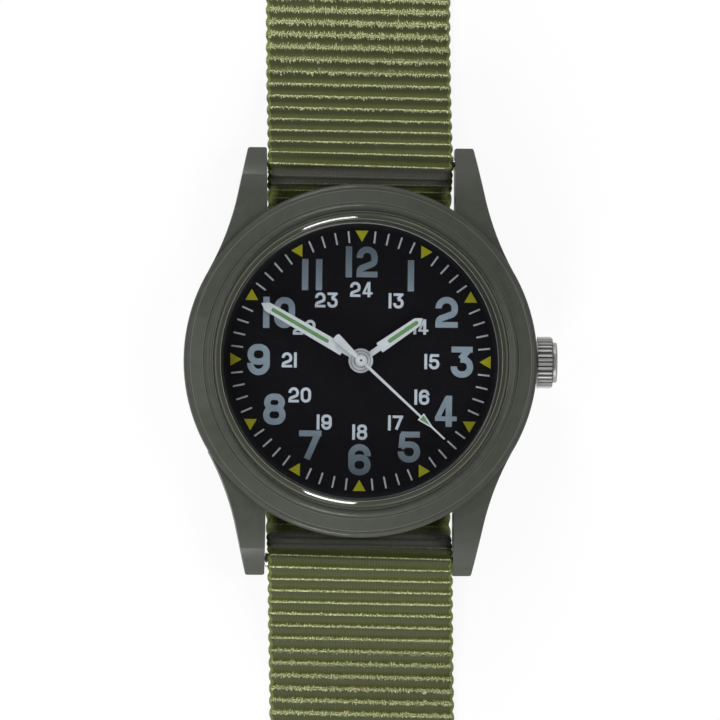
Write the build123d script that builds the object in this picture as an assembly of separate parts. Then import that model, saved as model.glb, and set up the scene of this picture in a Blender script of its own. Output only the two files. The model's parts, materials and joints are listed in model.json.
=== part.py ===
from build123d import *
import math
import os

# A field watch lying on its back, dial up, with its strap laid out straight.
# Lengths are millimetres. Z points out of the dial, Y to 12 o'clock, X to the crown.
# The origin is under the middle of the dial, on the underside of the strap.

# Clearances that fits share
cut_overrun = 1.0
running_gap = 0.05
stack_gap = 0.05
fabric_gap = 0.10
fine_gap = 0.01

# Strap
strap_width = 18.0
strap_thickness = 1.2
strap_tail_reach = 183.0
strap_tip_rise = 5.0
strap_hole_radius = 1.0
strap_hole_pitch = 7.0
strap_first_hole_back = 71.0
strap_holes = 9
strap_corner_radius = 2.0
strap_landing_radius = 20.0
strap_ramp_radius = 6.0
strap_climb_angle = 60.0
strap_fall_angle = 27.0
fold_back_length = 16.0
fold_ramp_length = 7.0
fold_climb_length = 6.5
fold_margin = 0.5
tongue_slot_reach = 5.5
tongue_slot_gap = 0.3

# Strap loop
loop_thickness = 0.8
loop_length = 5.0
loop_bar_distance = 8.5
loop_headroom = 0.4
loop_side_gap = 0.2
loop_corner_radius = 0.8
loop_inner_corner_radius = 0.2

# Buckle
buckle_bar_reach = 77.5
buckle_bar_radius = 0.75
buckle_bar_overhang = 0.4
buckle_arm_width = 1.9
buckle_arm_gap = 0.4
buckle_eye_radius = 1.45
buckle_plate_thickness = 1.5
buckle_reach = 13.0
buckle_front_width = 2.4
buckle_corner_radius = 2.6
buckle_inner_corner_radius = 1.3
buckle_rim_round = 0.25
tongue_width = 1.8
tongue_thickness = 0.9
tongue_eye_radius = 1.55
tongue_tip_overhang = 0.9
tongue_tip_width = 1.1
tongue_taper_reach = 7.2

# Case
case_bore_radius = 14.4
case_wall = 2.72
case_flank_lean = 1.42
case_flank_height = 3.2
case_side_height = 4.9
case_side_round = 0.58
case_shoulder_height = 5.45
case_slope_width = 1.21
case_slope_height = 5.95
bezel_step = 0.13
bezel_wall_height = 6.2
bezel_crest_height = 6.5
bezel_lip_height = 6.35
crystal_ledge_width = 1.0
crystal_ledge_thickness = 0.4
lug_reach_past_case = 3.63
lug_strap_gap = 0.25
lug_tip_width = 1.8
lug_corner_round = 0.2
lug_tip_round = 0.5
lug_straight_length = 5.25
lug_flare_angle = 12.3
lug_root_angle = 31.0
lug_arc_sag = 0.24
lug_top_height = 4.9
lug_crest_back = 6.75
lug_tip_height = 1.7
lug_foot_height = -0.5
lug_root_lift = 0.2
lug_foot_back = 1.15
lug_hole_radius = 0.5
lug_hole_depth = 1.0

# Case back
back_plate_margin = 0.3
back_plate_thickness = 0.7
back_chamfer = 0.3
back_snap_width = 0.45
back_snap_height = 1.0
back_notch_width = 3.0
back_notch_depth = 0.35
back_gasket_width = 0.22
back_gasket_height = 0.38

# Crystal
crystal_inset = 0.1
crystal_skirt_step = 0.35
crystal_skirt_height = 0.9
crystal_rim_height = 0.3
crystal_shoulder_width = 0.55
crystal_shoulder_height = 1.9
crystal_dome_rise = 1.1
crystal_wall = 0.95
crystal_inner_wall_height = 1.0
crystal_top_thickness = 1.2

# Dial and flange
dial_thickness = 0.4
dial_hole_radius = 0.95
dial_foot_radius = 0.35
dial_foot_length = 1.1
dial_foot_reach = 10.6
dial_foot_angle = 62.0
flange_height = 0.8
flange_width = 1.2
flange_slope_width = 0.3

# Hands, with their clock angles and their lengths as shares of the dial's open radius
hour_length_share = 0.548
hour_hand_width = 1.07
hour_hand_end_width = 0.9
hour_shoulder_reach = 2.2
hour_hand_lift = 0.35
hour_hub_radius = 1.17
hour_lume_start_share = 0.442
hour_lume_end_share = 0.92
hour_lume_width = 0.39
hour_clock_angle = 55.4
minute_length_share = 0.837
minute_hand_width = 1.1
minute_hand_end_width = 0.9
minute_shoulder_reach = 2.0
minute_hand_lift = 0.35
minute_hub_radius = 0.85
minute_lume_start_share = 0.323
minute_lume_end_share = 0.897
minute_lume_width = 0.37
minute_clock_angle = 299.6
hand_neck_width = 0.54
hand_shoulder_length = 0.04
hand_point_length = 0.65
hand_thickness = 0.15
hub_rim_width = 0.1
hub_groove_width = 0.1
hub_groove_depth = 0.06
second_length_share = 0.836
second_hand_width = 0.28
second_hand_tip_width = 0.16
second_hand_thickness = 0.1
second_hand_lift = 0.3
second_hub_radius = 0.48
second_hub_height = 0.3
second_tail_length = 3.4
second_tail_neck_width = 0.3
second_tail_width = 0.8
second_tail_cap = 0.2
arrow_start_share = 0.714
arrow_length = 1.8
arrow_width = 0.87
arrow_border = 0.14
second_clock_angle = 132.9

# Movement, from the case back upwards
movement_ring_wall_radius = 11.7
movement_ring_ledge_radius = 11.2
stem_hole_gap = 0.15
dial_height = 3.7
mainplate_bottom_height = 2.0
mainplate_top_height = 3.1
stem_axis_height = 2.4
bridge_bottom_height = 0.45
bridge_thickness = 0.5
pillar_radius = 0.7
bridge_pillar_reach = 5.0
bridge_pillar_angles = (187, -31, 94.6)
board_near_pillar_reach = 8.3
board_near_pillar_angle = 138
board_far_pillar_reach = 10.0
board_far_pillar_angle = 201
bridge_border = 0.9
screw_head_radius = 0.55
screw_head_height = 0.2
screw_shank_radius = 0.28
screw_bite = 0.48
screw_slot_width = 0.12

# Train: radii follow from the modules and the tooth numbers
tooth_crest_share = 0.85
tooth_depth_share = 1.15
tooth_root_width_share = 0.60
tooth_tip_width_share = 0.20
half_pitch_share = 0.5
rotor_pinion_teeth = 6
fifth_wheel_teeth = 30
fifth_pinion_teeth = 6
second_wheel_teeth = 36
second_pinion_teeth = 8
third_wheel_teeth = 60
third_pinion_teeth = 8
centre_wheel_teeth = 64
cannon_teeth = 12
minute_wheel_teeth = 36
minute_pinion_teeth = 10
hour_wheel_teeth = 40
setting_wheel_teeth = 12
rotor_distance = 1.8
fifth_distance = 1.89
third_distance = 2.52
minute_wheel_distance = 2.7
rotor_angle = 40.0
fifth_angle = -10.0
third_angle = 140.0
wheel_thickness = 0.12
pinion_overlap = 0.04
second_wheel_height = 1.10
third_wheel_height = 1.40
fifth_wheel_height = 1.62
centre_wheel_lift = 0.04
minute_wheel_lift = 0.20
hour_wheel_lift = 0.38
minute_pinion_height = 0.20
arbor_radius = 0.12
pivot_depth = 0.2
post_radius = 0.2
centre_tube_wall = 0.1
centre_tube_end_gap = 0.25
pipe_gap = 0.025
cannon_wall = 0.16
hour_pipe_wall = 0.25

# Motor
rotor_magnet_radius = 0.75
rotor_magnet_height = 0.3
stator_gap = 0.1
stator_ring_width = 0.45
stator_thickness = 0.2
stator_leg_width = 1.2
coil_reach = 7.6
coil_near_end = 1.1
coil_far_end = 7.0
coil_radius = 0.7
coil_end_margin = 0.8
coil_core_height = 0.3
coil_core_width = 0.8
coil_eye_radius = 0.6
coil_screw_head_radius = 0.5
coil_screw_shank_radius = 0.22

# Circuit
board_inner_radius = 6.1
board_outer_radius = 10.9
board_start_angle = 125.0
board_end_angle = 212.0
board_bottom_height = 0.6
board_thickness = 0.3
chip_size = 2.2
chip_height = 0.6
chip_reach = 8.3
chip_angle = 157.0
can_radius = 0.5
can_length = 4.4
can_reach = 7.6
can_start = -3.4

# Battery
battery_radius = 3.4
battery_height = 2.1
battery_step = 0.35
battery_reach = 7.0
battery_angle = 250.0
battery_bottom_height = 0.5
battery_pocket_gap = 0.05
clamp_thickness = 0.2
clamp_width = 1.4
clamp_pillar_reach = 9.0
clamp_pillar_angle = -72.0
clamp_tip_length = 2.2

# Stem and setting parts
stem_radius = 0.45
stem_pilot_radius = 0.2
stem_pilot_start = 4.2
stem_square_start = 5.9
stem_square_end = 8.4
stem_square_width = 0.5
stem_groove_start = 9.3
stem_groove_length = 0.4
stem_crown_depth = 0.3
crown_pull_length = 0.9
pinion_shift_length = 0.4
sliding_pinion_radius = 0.7
sliding_pinion_start = 6.35
sliding_pinion_length = 1.4
sliding_pinion_groove_radius = 0.5
sliding_pinion_groove_start = 0.6
sliding_pinion_groove_length = 0.3
sliding_pinion_tooth_length = 0.3
sliding_pinion_teeth = 12
sliding_pinion_tooth_depth = 0.1
stem_boss_start = 4.75
stem_boss_end = 11.0
stem_boss_width = 3.0
stem_boss_depth = 0.65
pocket_start = 5.8
pocket_end = 8.6
pocket_wall = 0.1
setting_plate_thickness = 0.2
setting_plate_width = 0.9
lever_pivot_reach = 9.95
lever_pivot_offset = -2.35
lever_nib_radius = 0.12
nib_depth = 0.2
lever_nib_offset = -0.401
yoke_pivot_offset = 2.27
yoke_nib_radius = 0.08
yoke_nib_offset = 0.62

# Crown
crown_gap = 0.08
crown_length = 1.46
crown_radius = 2.5
crown_chamfer = 0.16
crown_flutes = 34
crown_flute_depth = 0.16
crown_disc_length = 0.44
crown_disc_radius = 1.95
crown_disc_round = 0.15
crown_end_wall = 0.5
crown_tube_radius = 1.0
crown_tube_bore_radius = 0.5
crown_tube_end_gap = 0.1
crown_gasket_width = 0.36
crown_gasket_length = 0.35
crown_gasket_start_gap = 0.1

# Spring bars
spring_bar_back = 1.45
spring_bar_height = 1.2
spring_bar_radius = 0.75
spring_bar_bore_radius = 0.55
pin_tip_radius = 0.42
pin_flange_radius = 0.7
pin_flange_thickness = 0.25
pin_body_length = 2.4
pin_travel = 0.95
pin_spigot_radius = 0.2
pin_spigot_length = 1.9
pin_spring_wall = 0.2
lug_end_gap = 0.1
pin_tip_gap = 0.1

# Radii and reaches worked out from the case's bore
case_radius = case_bore_radius + case_wall
case_bottom_radius = case_radius - case_flank_lean
case_shoulder_radius = case_radius - case_side_round
case_slope_radius = case_shoulder_radius - case_slope_width
bezel_outer_radius = case_slope_radius - bezel_step
crystal_ledge_radius = case_bore_radius - crystal_ledge_width
lug_half_length = case_radius + lug_reach_past_case
lug_straight_reach = lug_half_length - lug_straight_length
lug_crest_reach = lug_half_length - lug_crest_back
lug_foot_reach = lug_half_length - lug_foot_back
spring_bar_reach = lug_half_length - spring_bar_back
back_plate_radius = case_bottom_radius - back_plate_margin
back_snap_radius = case_bore_radius + back_snap_width
crystal_radius = case_bore_radius - crystal_inset
crystal_skirt_radius = crystal_radius - crystal_skirt_step
crystal_shoulder_radius = crystal_radius - crystal_shoulder_width
crystal_inner_radius = crystal_radius - crystal_wall
flange_bottom_radius = case_bore_radius - flange_width
flange_top_radius = flange_bottom_radius + flange_slope_width
hour_hand_length = flange_bottom_radius * hour_length_share
hour_lume_start = hour_hand_length * hour_lume_start_share
hour_lume_end = hour_hand_length * hour_lume_end_share
minute_hand_length = flange_bottom_radius * minute_length_share
minute_lume_start = minute_hand_length * minute_lume_start_share
minute_lume_end = minute_hand_length * minute_lume_end_share
second_hand_length = flange_bottom_radius * second_length_share
arrow_start = second_hand_length * arrow_start_share
crown_start = case_radius + crown_gap
crown_tube_start = case_bore_radius + running_gap
strap_first_hole_reach = strap_tail_reach - strap_first_hole_back
lug_gap = strap_width + lug_strap_gap

# Heights worked out from the sizes above
back_top = strap_thickness + fabric_gap + back_plate_thickness
back_bottom = back_top - back_plate_thickness
ledge_bottom = back_top + dial_height + dial_thickness + flange_height
ledge_top = ledge_bottom + crystal_ledge_thickness
dial_bottom = back_top + dial_height
dial_top = dial_bottom + dial_thickness
mainplate_bottom = back_top + mainplate_bottom_height
mainplate_top = back_top + mainplate_top_height
stem_axis = back_top + stem_axis_height
bridge_bottom = back_top + bridge_bottom_height
bridge_top = bridge_bottom + bridge_thickness
board_bottom = back_top + board_bottom_height
board_top = board_bottom + board_thickness
battery_bottom = back_top + battery_bottom_height
bar_axis = back_top + spring_bar_height
crystal_seat_radius = crystal_radius + running_gap
hour_hand_bottom = dial_top + hour_hand_lift
minute_hand_bottom = hour_hand_bottom + hand_thickness + minute_hand_lift
second_hand_bottom = minute_hand_bottom + hand_thickness + second_hand_lift
stator_bottom = bridge_top + stack_gap
stator_top = stator_bottom + stator_thickness

# Wheel modules, from the distances between the shafts
rotor_module = 2 * rotor_distance / (rotor_pinion_teeth + fifth_wheel_teeth)
fifth_module = 2 * fifth_distance / (fifth_pinion_teeth + second_wheel_teeth)
second_module = 2 * third_distance / (second_pinion_teeth + third_wheel_teeth)
third_module = 2 * third_distance / (third_pinion_teeth + centre_wheel_teeth)
cannon_module = 2 * minute_wheel_distance / (cannon_teeth + minute_wheel_teeth)
hour_module = 2 * minute_wheel_distance / (minute_pinion_teeth + hour_wheel_teeth)
setting_distance = cannon_module * (minute_wheel_teeth + setting_wheel_teeth) / 2

# Pipes that turn round one another at the centre
centre_tube_inner = arbor_radius + running_gap
centre_tube_outer = centre_tube_inner + centre_tube_wall
cannon_inner = centre_tube_outer + pipe_gap
cannon_outer = cannon_inner + cannon_wall
hour_pipe_inner = cannon_outer + running_gap
hour_pipe_outer = hour_pipe_inner + hour_pipe_wall


def polar(distance, angle, start=(0, 0)):
    """The point at a distance and an angle from a starting point, in plan."""
    turn = math.radians(angle)
    return (start[0] + distance * math.cos(turn), start[1] + distance * math.sin(turn))


third_place = polar(third_distance, third_angle)
fifth_place = polar(fifth_distance, fifth_angle)
rotor_place = polar(rotor_distance, rotor_angle, fifth_place)
minute_place = (minute_wheel_distance, 0)
setting_place = (minute_wheel_distance + setting_distance, 0)
battery_place = polar(battery_reach, battery_angle)
bridge_pillars = tuple(polar(bridge_pillar_reach, turn) for turn in bridge_pillar_angles)
board_pillars = (
    polar(board_near_pillar_reach, board_near_pillar_angle),
    polar(board_far_pillar_reach, board_far_pillar_angle),
)
clamp_pillar = polar(clamp_pillar_reach, clamp_pillar_angle)
coil_screw_places = ((coil_near_end, coil_reach), (coil_far_end, coil_reach))


# Shapes that several pieces use


def disc(radius, bottom, top, place=(0, 0)):
    """An upright round solid between two heights."""
    solid = Cylinder(radius, top - bottom, align=(Align.CENTER, Align.CENTER, Align.MIN))
    return Pos(place[0], place[1], bottom) * solid


def ring(inner, outer, bottom, top, place=(0, 0)):
    """An upright ring between two heights."""
    bore = disc(inner, bottom - cut_overrun, top + cut_overrun, place)
    return disc(outer, bottom, top, place) - bore


def rod(radius, start, end, height, side=0):
    """A round bar along X between two places."""
    solid = Cylinder(radius, end - start, align=(Align.CENTER, Align.CENTER, Align.MIN))
    return Pos(start, side, height) * Rot(0, 90, 0) * solid


def sleeve(inner, outer, start, end, height, side=0):
    """A tube along X between two places."""
    bore = rod(inner, start - cut_overrun, end + cut_overrun, height, side)
    return rod(outer, start, end, height, side) - bore


def block(low, high):
    """A box between two opposite corners."""
    sizes = [b - a for a, b in zip(low, high)]
    middle = [(a + b) / 2 for a, b in zip(low, high)]
    return Pos(*middle) * Box(*sizes)


def slab(outline, bottom, top):
    """A flat outline in plan, made solid between two heights."""
    return Pos(0, 0, bottom) * extrude(outline, top - bottom)


def turned(*curves):
    """A profile in the XZ plane, turned about Z."""
    return revolve(make_face(Curve() + list(curves)), Axis.Z)


def capsule(first, second, width, bottom, top):
    """A flat bar with round ends between two points in plan."""
    line = Line(first, second)
    return slab(SlotArc(line, width), bottom, top)


def gear(teeth, module, bore, bottom, top, turn, place=(0, 0)):
    """A toothed wheel whose first tooth points at the angle given by turn."""
    pitch = 360 / teeth
    middle = teeth * module / 2
    crest = middle + module * tooth_crest_share
    root = middle - module * tooth_depth_share
    points = []
    for tooth in range(teeth):
        at = turn + tooth * pitch
        points.append(polar(root, at - pitch * tooth_root_width_share / 2))
        points.append(polar(crest, at - pitch * tooth_tip_width_share / 2))
        points.append(polar(crest, at + pitch * tooth_tip_width_share / 2))
        points.append(polar(root, at + pitch * tooth_root_width_share / 2))
    outline = make_face(Polyline(*points, close=True))
    if bore:
        outline -= Circle(bore)
    return Pos(place[0], place[1], 0) * slab(outline, bottom, top)


def crest_radius(teeth, module):
    """How far a wheel's teeth reach."""
    return teeth * module / 2 + module * tooth_crest_share


def meshed_turn(teeth, turn, next_teeth, direction):
    """The turn that puts the next wheel's gap on this wheel's tooth."""
    share = (direction - turn) * teeth / 360
    return direction + 180 + (share + half_pitch_share) * 360 / next_teeth


# How each wheel stands at rest, so that the teeth mesh
second_turn = 90 - second_clock_angle
fifth_pinion_turn = meshed_turn(second_wheel_teeth, second_turn, fifth_pinion_teeth, fifth_angle)
rotor_turn = meshed_turn(fifth_wheel_teeth, fifth_pinion_turn, rotor_pinion_teeth, rotor_angle)
third_turn = meshed_turn(second_pinion_teeth, second_turn, third_wheel_teeth, third_angle)
centre_turn = meshed_turn(third_pinion_teeth, third_turn, centre_wheel_teeth, third_angle + 180)
cannon_turn = centre_turn
minute_turn = meshed_turn(cannon_teeth, cannon_turn, minute_wheel_teeth, 0)
hour_turn = meshed_turn(minute_pinion_teeth, minute_turn, hour_wheel_teeth, 180)
setting_turn = meshed_turn(minute_wheel_teeth, minute_turn, setting_wheel_teeth, 0)


def write(name, shape):
    """Save one piece under its name."""
    export_step(shape, "parts/" + name + ".step")


def together(*solids):
    """Separate solids kept in one piece of the list."""
    return Compound(children=[s for shape in solids for s in shape.solids()])


# Case


def lug_plan():
    """The outline of the lug at the upper right, seen from above."""
    inner = lug_gap / 2
    tip = inner + lug_tip_width
    flare = (lug_half_length - lug_straight_reach) * math.tan(math.radians(lug_flare_angle))
    straight_end = (tip + flare, lug_straight_reach)
    root = polar(case_radius, lug_root_angle)
    middle = ((straight_end[0] + root[0]) / 2, (straight_end[1] + root[1]) / 2)
    chord = math.dist(straight_end, root)
    lean = ((straight_end[1] - root[1]) / chord, (root[0] - straight_end[0]) / chord)
    bow = (middle[0] - lean[0] * lug_arc_sag, middle[1] - lean[1] * lug_arc_sag)
    edge = Curve() + [
        Line((inner, lug_half_length), (tip, lug_half_length)),
        Line((tip, lug_half_length), straight_end),
        ThreePointArc(straight_end, bow, root),
        Line(root, (inner, root[1])),
        Line((inner, root[1]), (inner, lug_half_length)),
    ]
    outline = make_face(edge)
    corners = outline.vertices().sort_by(Axis.Y)[-2:]
    return fillet(corners, lug_corner_round)


def lug_side():
    """The outline of a lug seen from the side, as a block across the watch."""
    foot = back_top + lug_foot_height
    points = [
        (0, back_top + lug_root_lift),
        (case_bottom_radius, back_top + lug_root_lift),
        (lug_foot_reach, foot),
        (lug_half_length, foot + lug_tip_round),
        (lug_half_length, back_top + lug_tip_height),
    ]
    crest = (lug_crest_reach, back_top + lug_top_height)
    edge = Curve() + [
        Polyline(*points),
        TangentArc(crest, points[-1], tangent=(1, 0)),
        Polyline(crest, (0, back_top + lug_top_height), points[0]),
    ]
    face = Plane.YZ * make_face(edge)
    return extrude(face, case_radius, both=True)


def make_case():
    """The case with its four lugs, turned and bored."""
    flank_top = back_top + case_flank_height
    side_top = back_top + case_side_height
    shoulder = (case_shoulder_radius, 0, back_top + case_shoulder_height)
    slope_end = (case_slope_radius, 0, back_top + case_slope_height)
    bezel_foot = (bezel_outer_radius, 0, back_top + case_slope_height)
    bezel_side = (bezel_outer_radius, 0, back_top + bezel_wall_height)
    bezel_lip = (crystal_seat_radius, 0, back_top + bezel_lip_height)
    crest = ((bezel_outer_radius + crystal_seat_radius) / 2, 0, back_top + bezel_crest_height)
    lean_share = 0.72
    rounding = (
        case_shoulder_radius + (case_radius - case_shoulder_radius) * lean_share,
        0,
        side_top + (shoulder[2] - side_top) * lean_share,
    )
    body = turned(
        Line((0, 0, back_top), (case_bottom_radius, 0, back_top)),
        Line((case_bottom_radius, 0, back_top), (case_radius, 0, flank_top)),
        Line((case_radius, 0, flank_top), (case_radius, 0, side_top)),
        ThreePointArc((case_radius, 0, side_top), rounding, shoulder),
        Line(shoulder, slope_end),
        Line(slope_end, bezel_foot),
        Line(bezel_foot, bezel_side),
        ThreePointArc(bezel_side, crest, bezel_lip),
        Line(bezel_lip, (0, 0, bezel_lip[2])),
        Line((0, 0, bezel_lip[2]), (0, 0, back_top)),
    )
    lugs = extrude(lug_plan(), bezel_lip[2]) & lug_side()
    lugs += mirror(lugs, Plane.YZ)
    lugs += mirror(lugs, Plane.XZ)
    body += lugs
    body -= disc(case_bore_radius, back_bottom, ledge_bottom)
    body -= disc(crystal_ledge_radius, back_bottom, bezel_lip[2] + cut_overrun)
    body -= disc(crystal_seat_radius, ledge_top, bezel_lip[2] + cut_overrun)
    snap_bore = back_snap_radius + running_gap
    body -= disc(snap_bore, back_bottom, back_top + back_snap_height + stack_gap)
    groove = snap_bore + back_gasket_width + pipe_gap
    body -= disc(groove, back_bottom, back_top + back_gasket_height + stack_gap)
    tube_hole_start = case_bore_radius - cut_overrun
    body -= rod(crown_tube_radius, tube_hole_start, case_radius + cut_overrun, stem_axis)
    for side in (-1, 1):
        ends = sorted((side * (lug_gap / 2 - cut_overrun), side * (lug_gap / 2 + lug_hole_depth)))
        for way in (-1, 1):
            body -= rod(lug_hole_radius, ends[0], ends[1], bar_axis, way * spring_bar_reach)
    return body


def make_case_back():
    """The snap-on back with its wall and the notch that a case knife lifts."""
    low = back_plate_radius - back_chamfer
    plate = turned(
        Line((0, 0, back_bottom), (low, 0, back_bottom)),
        Line((low, 0, back_bottom), (back_plate_radius, 0, back_bottom + back_chamfer)),
        Line((back_plate_radius, 0, back_bottom + back_chamfer), (back_plate_radius, 0, back_top)),
        Line((back_plate_radius, 0, back_top), (0, 0, back_top)),
        Line((0, 0, back_top), (0, 0, back_bottom)),
    )
    wall = ring(case_bore_radius, back_snap_radius, back_top, back_top + back_snap_height)
    notch = block(
        (-back_plate_radius - cut_overrun, -back_notch_width / 2, back_top - back_notch_depth),
        (-back_plate_radius + back_notch_depth, back_notch_width / 2, back_top + fine_gap),
    )
    return plate + wall - notch


def make_case_back_gasket():
    """The flat ring that seals the back."""
    inner = back_snap_radius + running_gap
    return ring(inner, inner + back_gasket_width, back_top, back_top + back_gasket_height)


def dome_middle(radius, low, rise):
    """The point halfway out on the arc that rises from a rim to the middle."""
    sphere = (radius**2 + rise**2) / (2 * rise)
    at = radius / 2
    return (at, 0, low + rise - sphere + math.sqrt(sphere**2 - at**2))


def make_crystal():
    """The domed crystal with its stepped skirt."""
    skirt_top = ledge_top + crystal_skirt_height
    rim_top = skirt_top + crystal_rim_height
    shoulder_z = ledge_top + crystal_shoulder_height
    inner_radius = crystal_inner_radius
    inner_top = ledge_top + crystal_inner_wall_height
    inner_rise = shoulder_z + crystal_dome_rise - crystal_top_thickness - inner_top
    shoulder = (crystal_shoulder_radius, 0, shoulder_z)
    top = (0, 0, shoulder_z + crystal_dome_rise)
    bulge_share = 0.62
    bulge = (
        crystal_shoulder_radius + (crystal_radius - crystal_shoulder_radius) * bulge_share,
        0,
        rim_top + (shoulder_z - rim_top) * bulge_share,
    )
    return turned(
        Line((inner_radius, 0, ledge_top), (crystal_skirt_radius, 0, ledge_top)),
        Line((crystal_skirt_radius, 0, ledge_top), (crystal_skirt_radius, 0, skirt_top)),
        Line((crystal_skirt_radius, 0, skirt_top), (crystal_radius, 0, skirt_top)),
        Line((crystal_radius, 0, skirt_top), (crystal_radius, 0, rim_top)),
        ThreePointArc((crystal_radius, 0, rim_top), bulge, shoulder),
        ThreePointArc(
            shoulder,
            dome_middle(crystal_shoulder_radius, shoulder_z, crystal_dome_rise),
            top,
        ),
        Line(top, (0, 0, inner_top + inner_rise)),
        ThreePointArc(
            (0, 0, inner_top + inner_rise),
            dome_middle(inner_radius, inner_top, inner_rise),
            (inner_radius, 0, inner_top),
        ),
        Line((inner_radius, 0, inner_top), (inner_radius, 0, ledge_top)),
    )


def make_crystal_gasket():
    """The ring between the crystal's skirt and the bezel."""
    top = ledge_top + crystal_skirt_height - stack_gap
    return ring(crystal_skirt_radius + running_gap, crystal_radius, ledge_top, top)


def make_crown_tube():
    """The tube in the case wall that the crown slides over."""
    end = crown_start + crown_length + crown_disc_length - crown_end_wall - crown_tube_end_gap
    return sleeve(crown_tube_bore_radius, crown_tube_radius, crown_tube_start, end, stem_axis)


# Dial side


def make_dial_flange():
    """The sloping ring between the dial and the crystal."""
    outer = case_bore_radius - running_gap
    top = dial_top + flange_height
    return turned(
        Line((flange_bottom_radius, 0, dial_top), (outer, 0, dial_top)),
        Line((outer, 0, dial_top), (outer, 0, top)),
        Line((outer, 0, top), (flange_top_radius, 0, top)),
        Line((flange_top_radius, 0, top), (flange_bottom_radius, 0, dial_top)),
    )


def make_dial():
    """The dial plate with its two feet."""
    plate = ring(dial_hole_radius, case_bore_radius - running_gap, dial_bottom, dial_top)
    for turn in (dial_foot_angle, dial_foot_angle + 180):
        place = polar(dial_foot_reach, turn)
        plate += disc(dial_foot_radius, dial_bottom - dial_foot_length, dial_bottom, place)
    return plate


def hand_blade(length, shoulder, width, end_width, hub, bore, bottom):
    """A pencil hand that points at 12, with a round hub."""
    neck = hand_neck_width / 2
    point_start = length - hand_point_length
    blade = [
        (neck, 0),
        (neck, shoulder - hand_shoulder_length),
        (width / 2, shoulder),
        (end_width / 2, point_start),
        (0, length),
    ]
    points = blade + [(-x, y) for x, y in reversed(blade) if x]
    outline = make_face(Polyline(*points, close=True)) + Circle(hub) - Circle(bore)
    top = bottom + hand_thickness
    groove = hub - hub_rim_width
    hand = slab(outline, bottom, top)
    return hand - ring(groove - hub_groove_width, groove, top - hub_groove_depth, top + cut_overrun)


def round_ended_slot(start, end, width):
    """The outline of a slot along a hand, round at both ends."""
    return Pos(0, (start + end) / 2) * Rot(0, 0, 90) * SlotOverall(end - start, width)


def slot_in_hand(start, end, width, bottom):
    """The slot in a hand that holds its luminous insert."""
    outline = round_ended_slot(start, end, width)
    return slab(outline, bottom - cut_overrun, bottom + hand_thickness + cut_overrun)


def lume_in_hand(start, end, width, bottom, angle):
    """The luminous insert that fills a hand's slot."""
    outline = round_ended_slot(start + fine_gap, end - fine_gap, width - 2 * fine_gap)
    return Rot(0, 0, -angle) * slab(outline, bottom, bottom + hand_thickness)


def make_hour_hand():
    """The short hand on the hour wheel's pipe."""
    hand = hand_blade(
        hour_hand_length,
        hour_shoulder_reach,
        hour_hand_width,
        hour_hand_end_width,
        hour_hub_radius,
        hour_pipe_outer,
        hour_hand_bottom,
    )
    hand -= slot_in_hand(hour_lume_start, hour_lume_end, hour_lume_width, hour_hand_bottom)
    return Rot(0, 0, -hour_clock_angle) * hand


def make_minute_hand():
    """The long hand on the cannon pinion."""
    hand = hand_blade(
        minute_hand_length,
        minute_shoulder_reach,
        minute_hand_width,
        minute_hand_end_width,
        minute_hub_radius,
        cannon_outer,
        minute_hand_bottom,
    )
    slot = slot_in_hand(minute_lume_start, minute_lume_end, minute_lume_width, minute_hand_bottom)
    return Rot(0, 0, -minute_clock_angle) * (hand - slot)


def arrow_outline(border):
    """The second hand's arrow head, drawn in by a border."""
    start = arrow_start + border
    end = arrow_start + arrow_length - border * arrow_length / arrow_width * 2
    half = arrow_width / 2 * (end - start) / arrow_length
    return make_face(Polyline((-half, start), (half, start), (0, end), close=True))


def make_second_hand():
    """The sweep hand with its arrow head and round tail."""
    half = second_hand_width / 2
    tip = second_hand_tip_width / 2
    neck = second_tail_neck_width / 2
    wide = second_tail_width / 2
    tail_end = -second_tail_length + second_tail_cap
    far = second_hand_length
    shaft = make_face(Polyline((-half, 0), (-tip, far), (tip, far), (half, 0), close=True))
    tail = make_face(Polyline((-neck, 0), (neck, 0), (wide, tail_end), (-wide, tail_end), close=True))
    outline = shaft + tail + Pos(0, tail_end) * Ellipse(wide, second_tail_cap)
    outline = outline + arrow_outline(0) - arrow_outline(arrow_border)
    outline = outline + Circle(second_hub_radius) - Circle(arbor_radius)
    bottom = second_hand_bottom
    hand = slab(outline, bottom, bottom + second_hand_thickness)
    hub_bottom = bottom + second_hand_thickness - second_hub_height / 2
    hand += ring(arbor_radius, second_hub_radius, hub_bottom, hub_bottom + second_hub_height)
    return Rot(0, 0, -second_clock_angle) * hand


def make_second_hand_lume():
    """The luminous filling of the arrow head."""
    bottom = second_hand_bottom
    filling = slab(arrow_outline(arrow_border + fine_gap), bottom, bottom + second_hand_thickness)
    return Rot(0, 0, -second_clock_angle) * filling


# Motion works on the dial side of the mainplate


def make_centre_wheel():
    """The wheel that turns once an hour, on the cannon pinion's pipe."""
    bottom = mainplate_top + centre_wheel_lift
    return gear(
        centre_wheel_teeth, third_module, cannon_outer, bottom, bottom + wheel_thickness, centre_turn
    )


def make_cannon_pinion():
    """The pipe that carries the minute hand, with its pinion leaves."""
    bottom = mainplate_top + centre_wheel_lift
    pipe = ring(cannon_inner, cannon_outer, bottom, minute_hand_bottom + hand_thickness + stack_gap)
    low = mainplate_top + minute_wheel_lift - fine_gap
    high = mainplate_top + minute_wheel_lift + wheel_thickness + fine_gap
    leaves = gear(cannon_teeth, cannon_module, cannon_inner, low, high, cannon_turn)
    return pipe + leaves


def make_minute_wheel():
    """The wheel and pinion between the cannon pinion and the hour wheel."""
    bottom = mainplate_top + minute_wheel_lift
    bore = post_radius + running_gap
    top = bottom + wheel_thickness
    wheel = gear(minute_wheel_teeth, cannon_module, bore, bottom, top, minute_turn, minute_place)
    pinion = gear(
        minute_pinion_teeth,
        hour_module,
        bore,
        top - fine_gap,
        top + minute_pinion_height,
        minute_turn,
        minute_place,
    )
    return wheel + pinion


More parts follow.
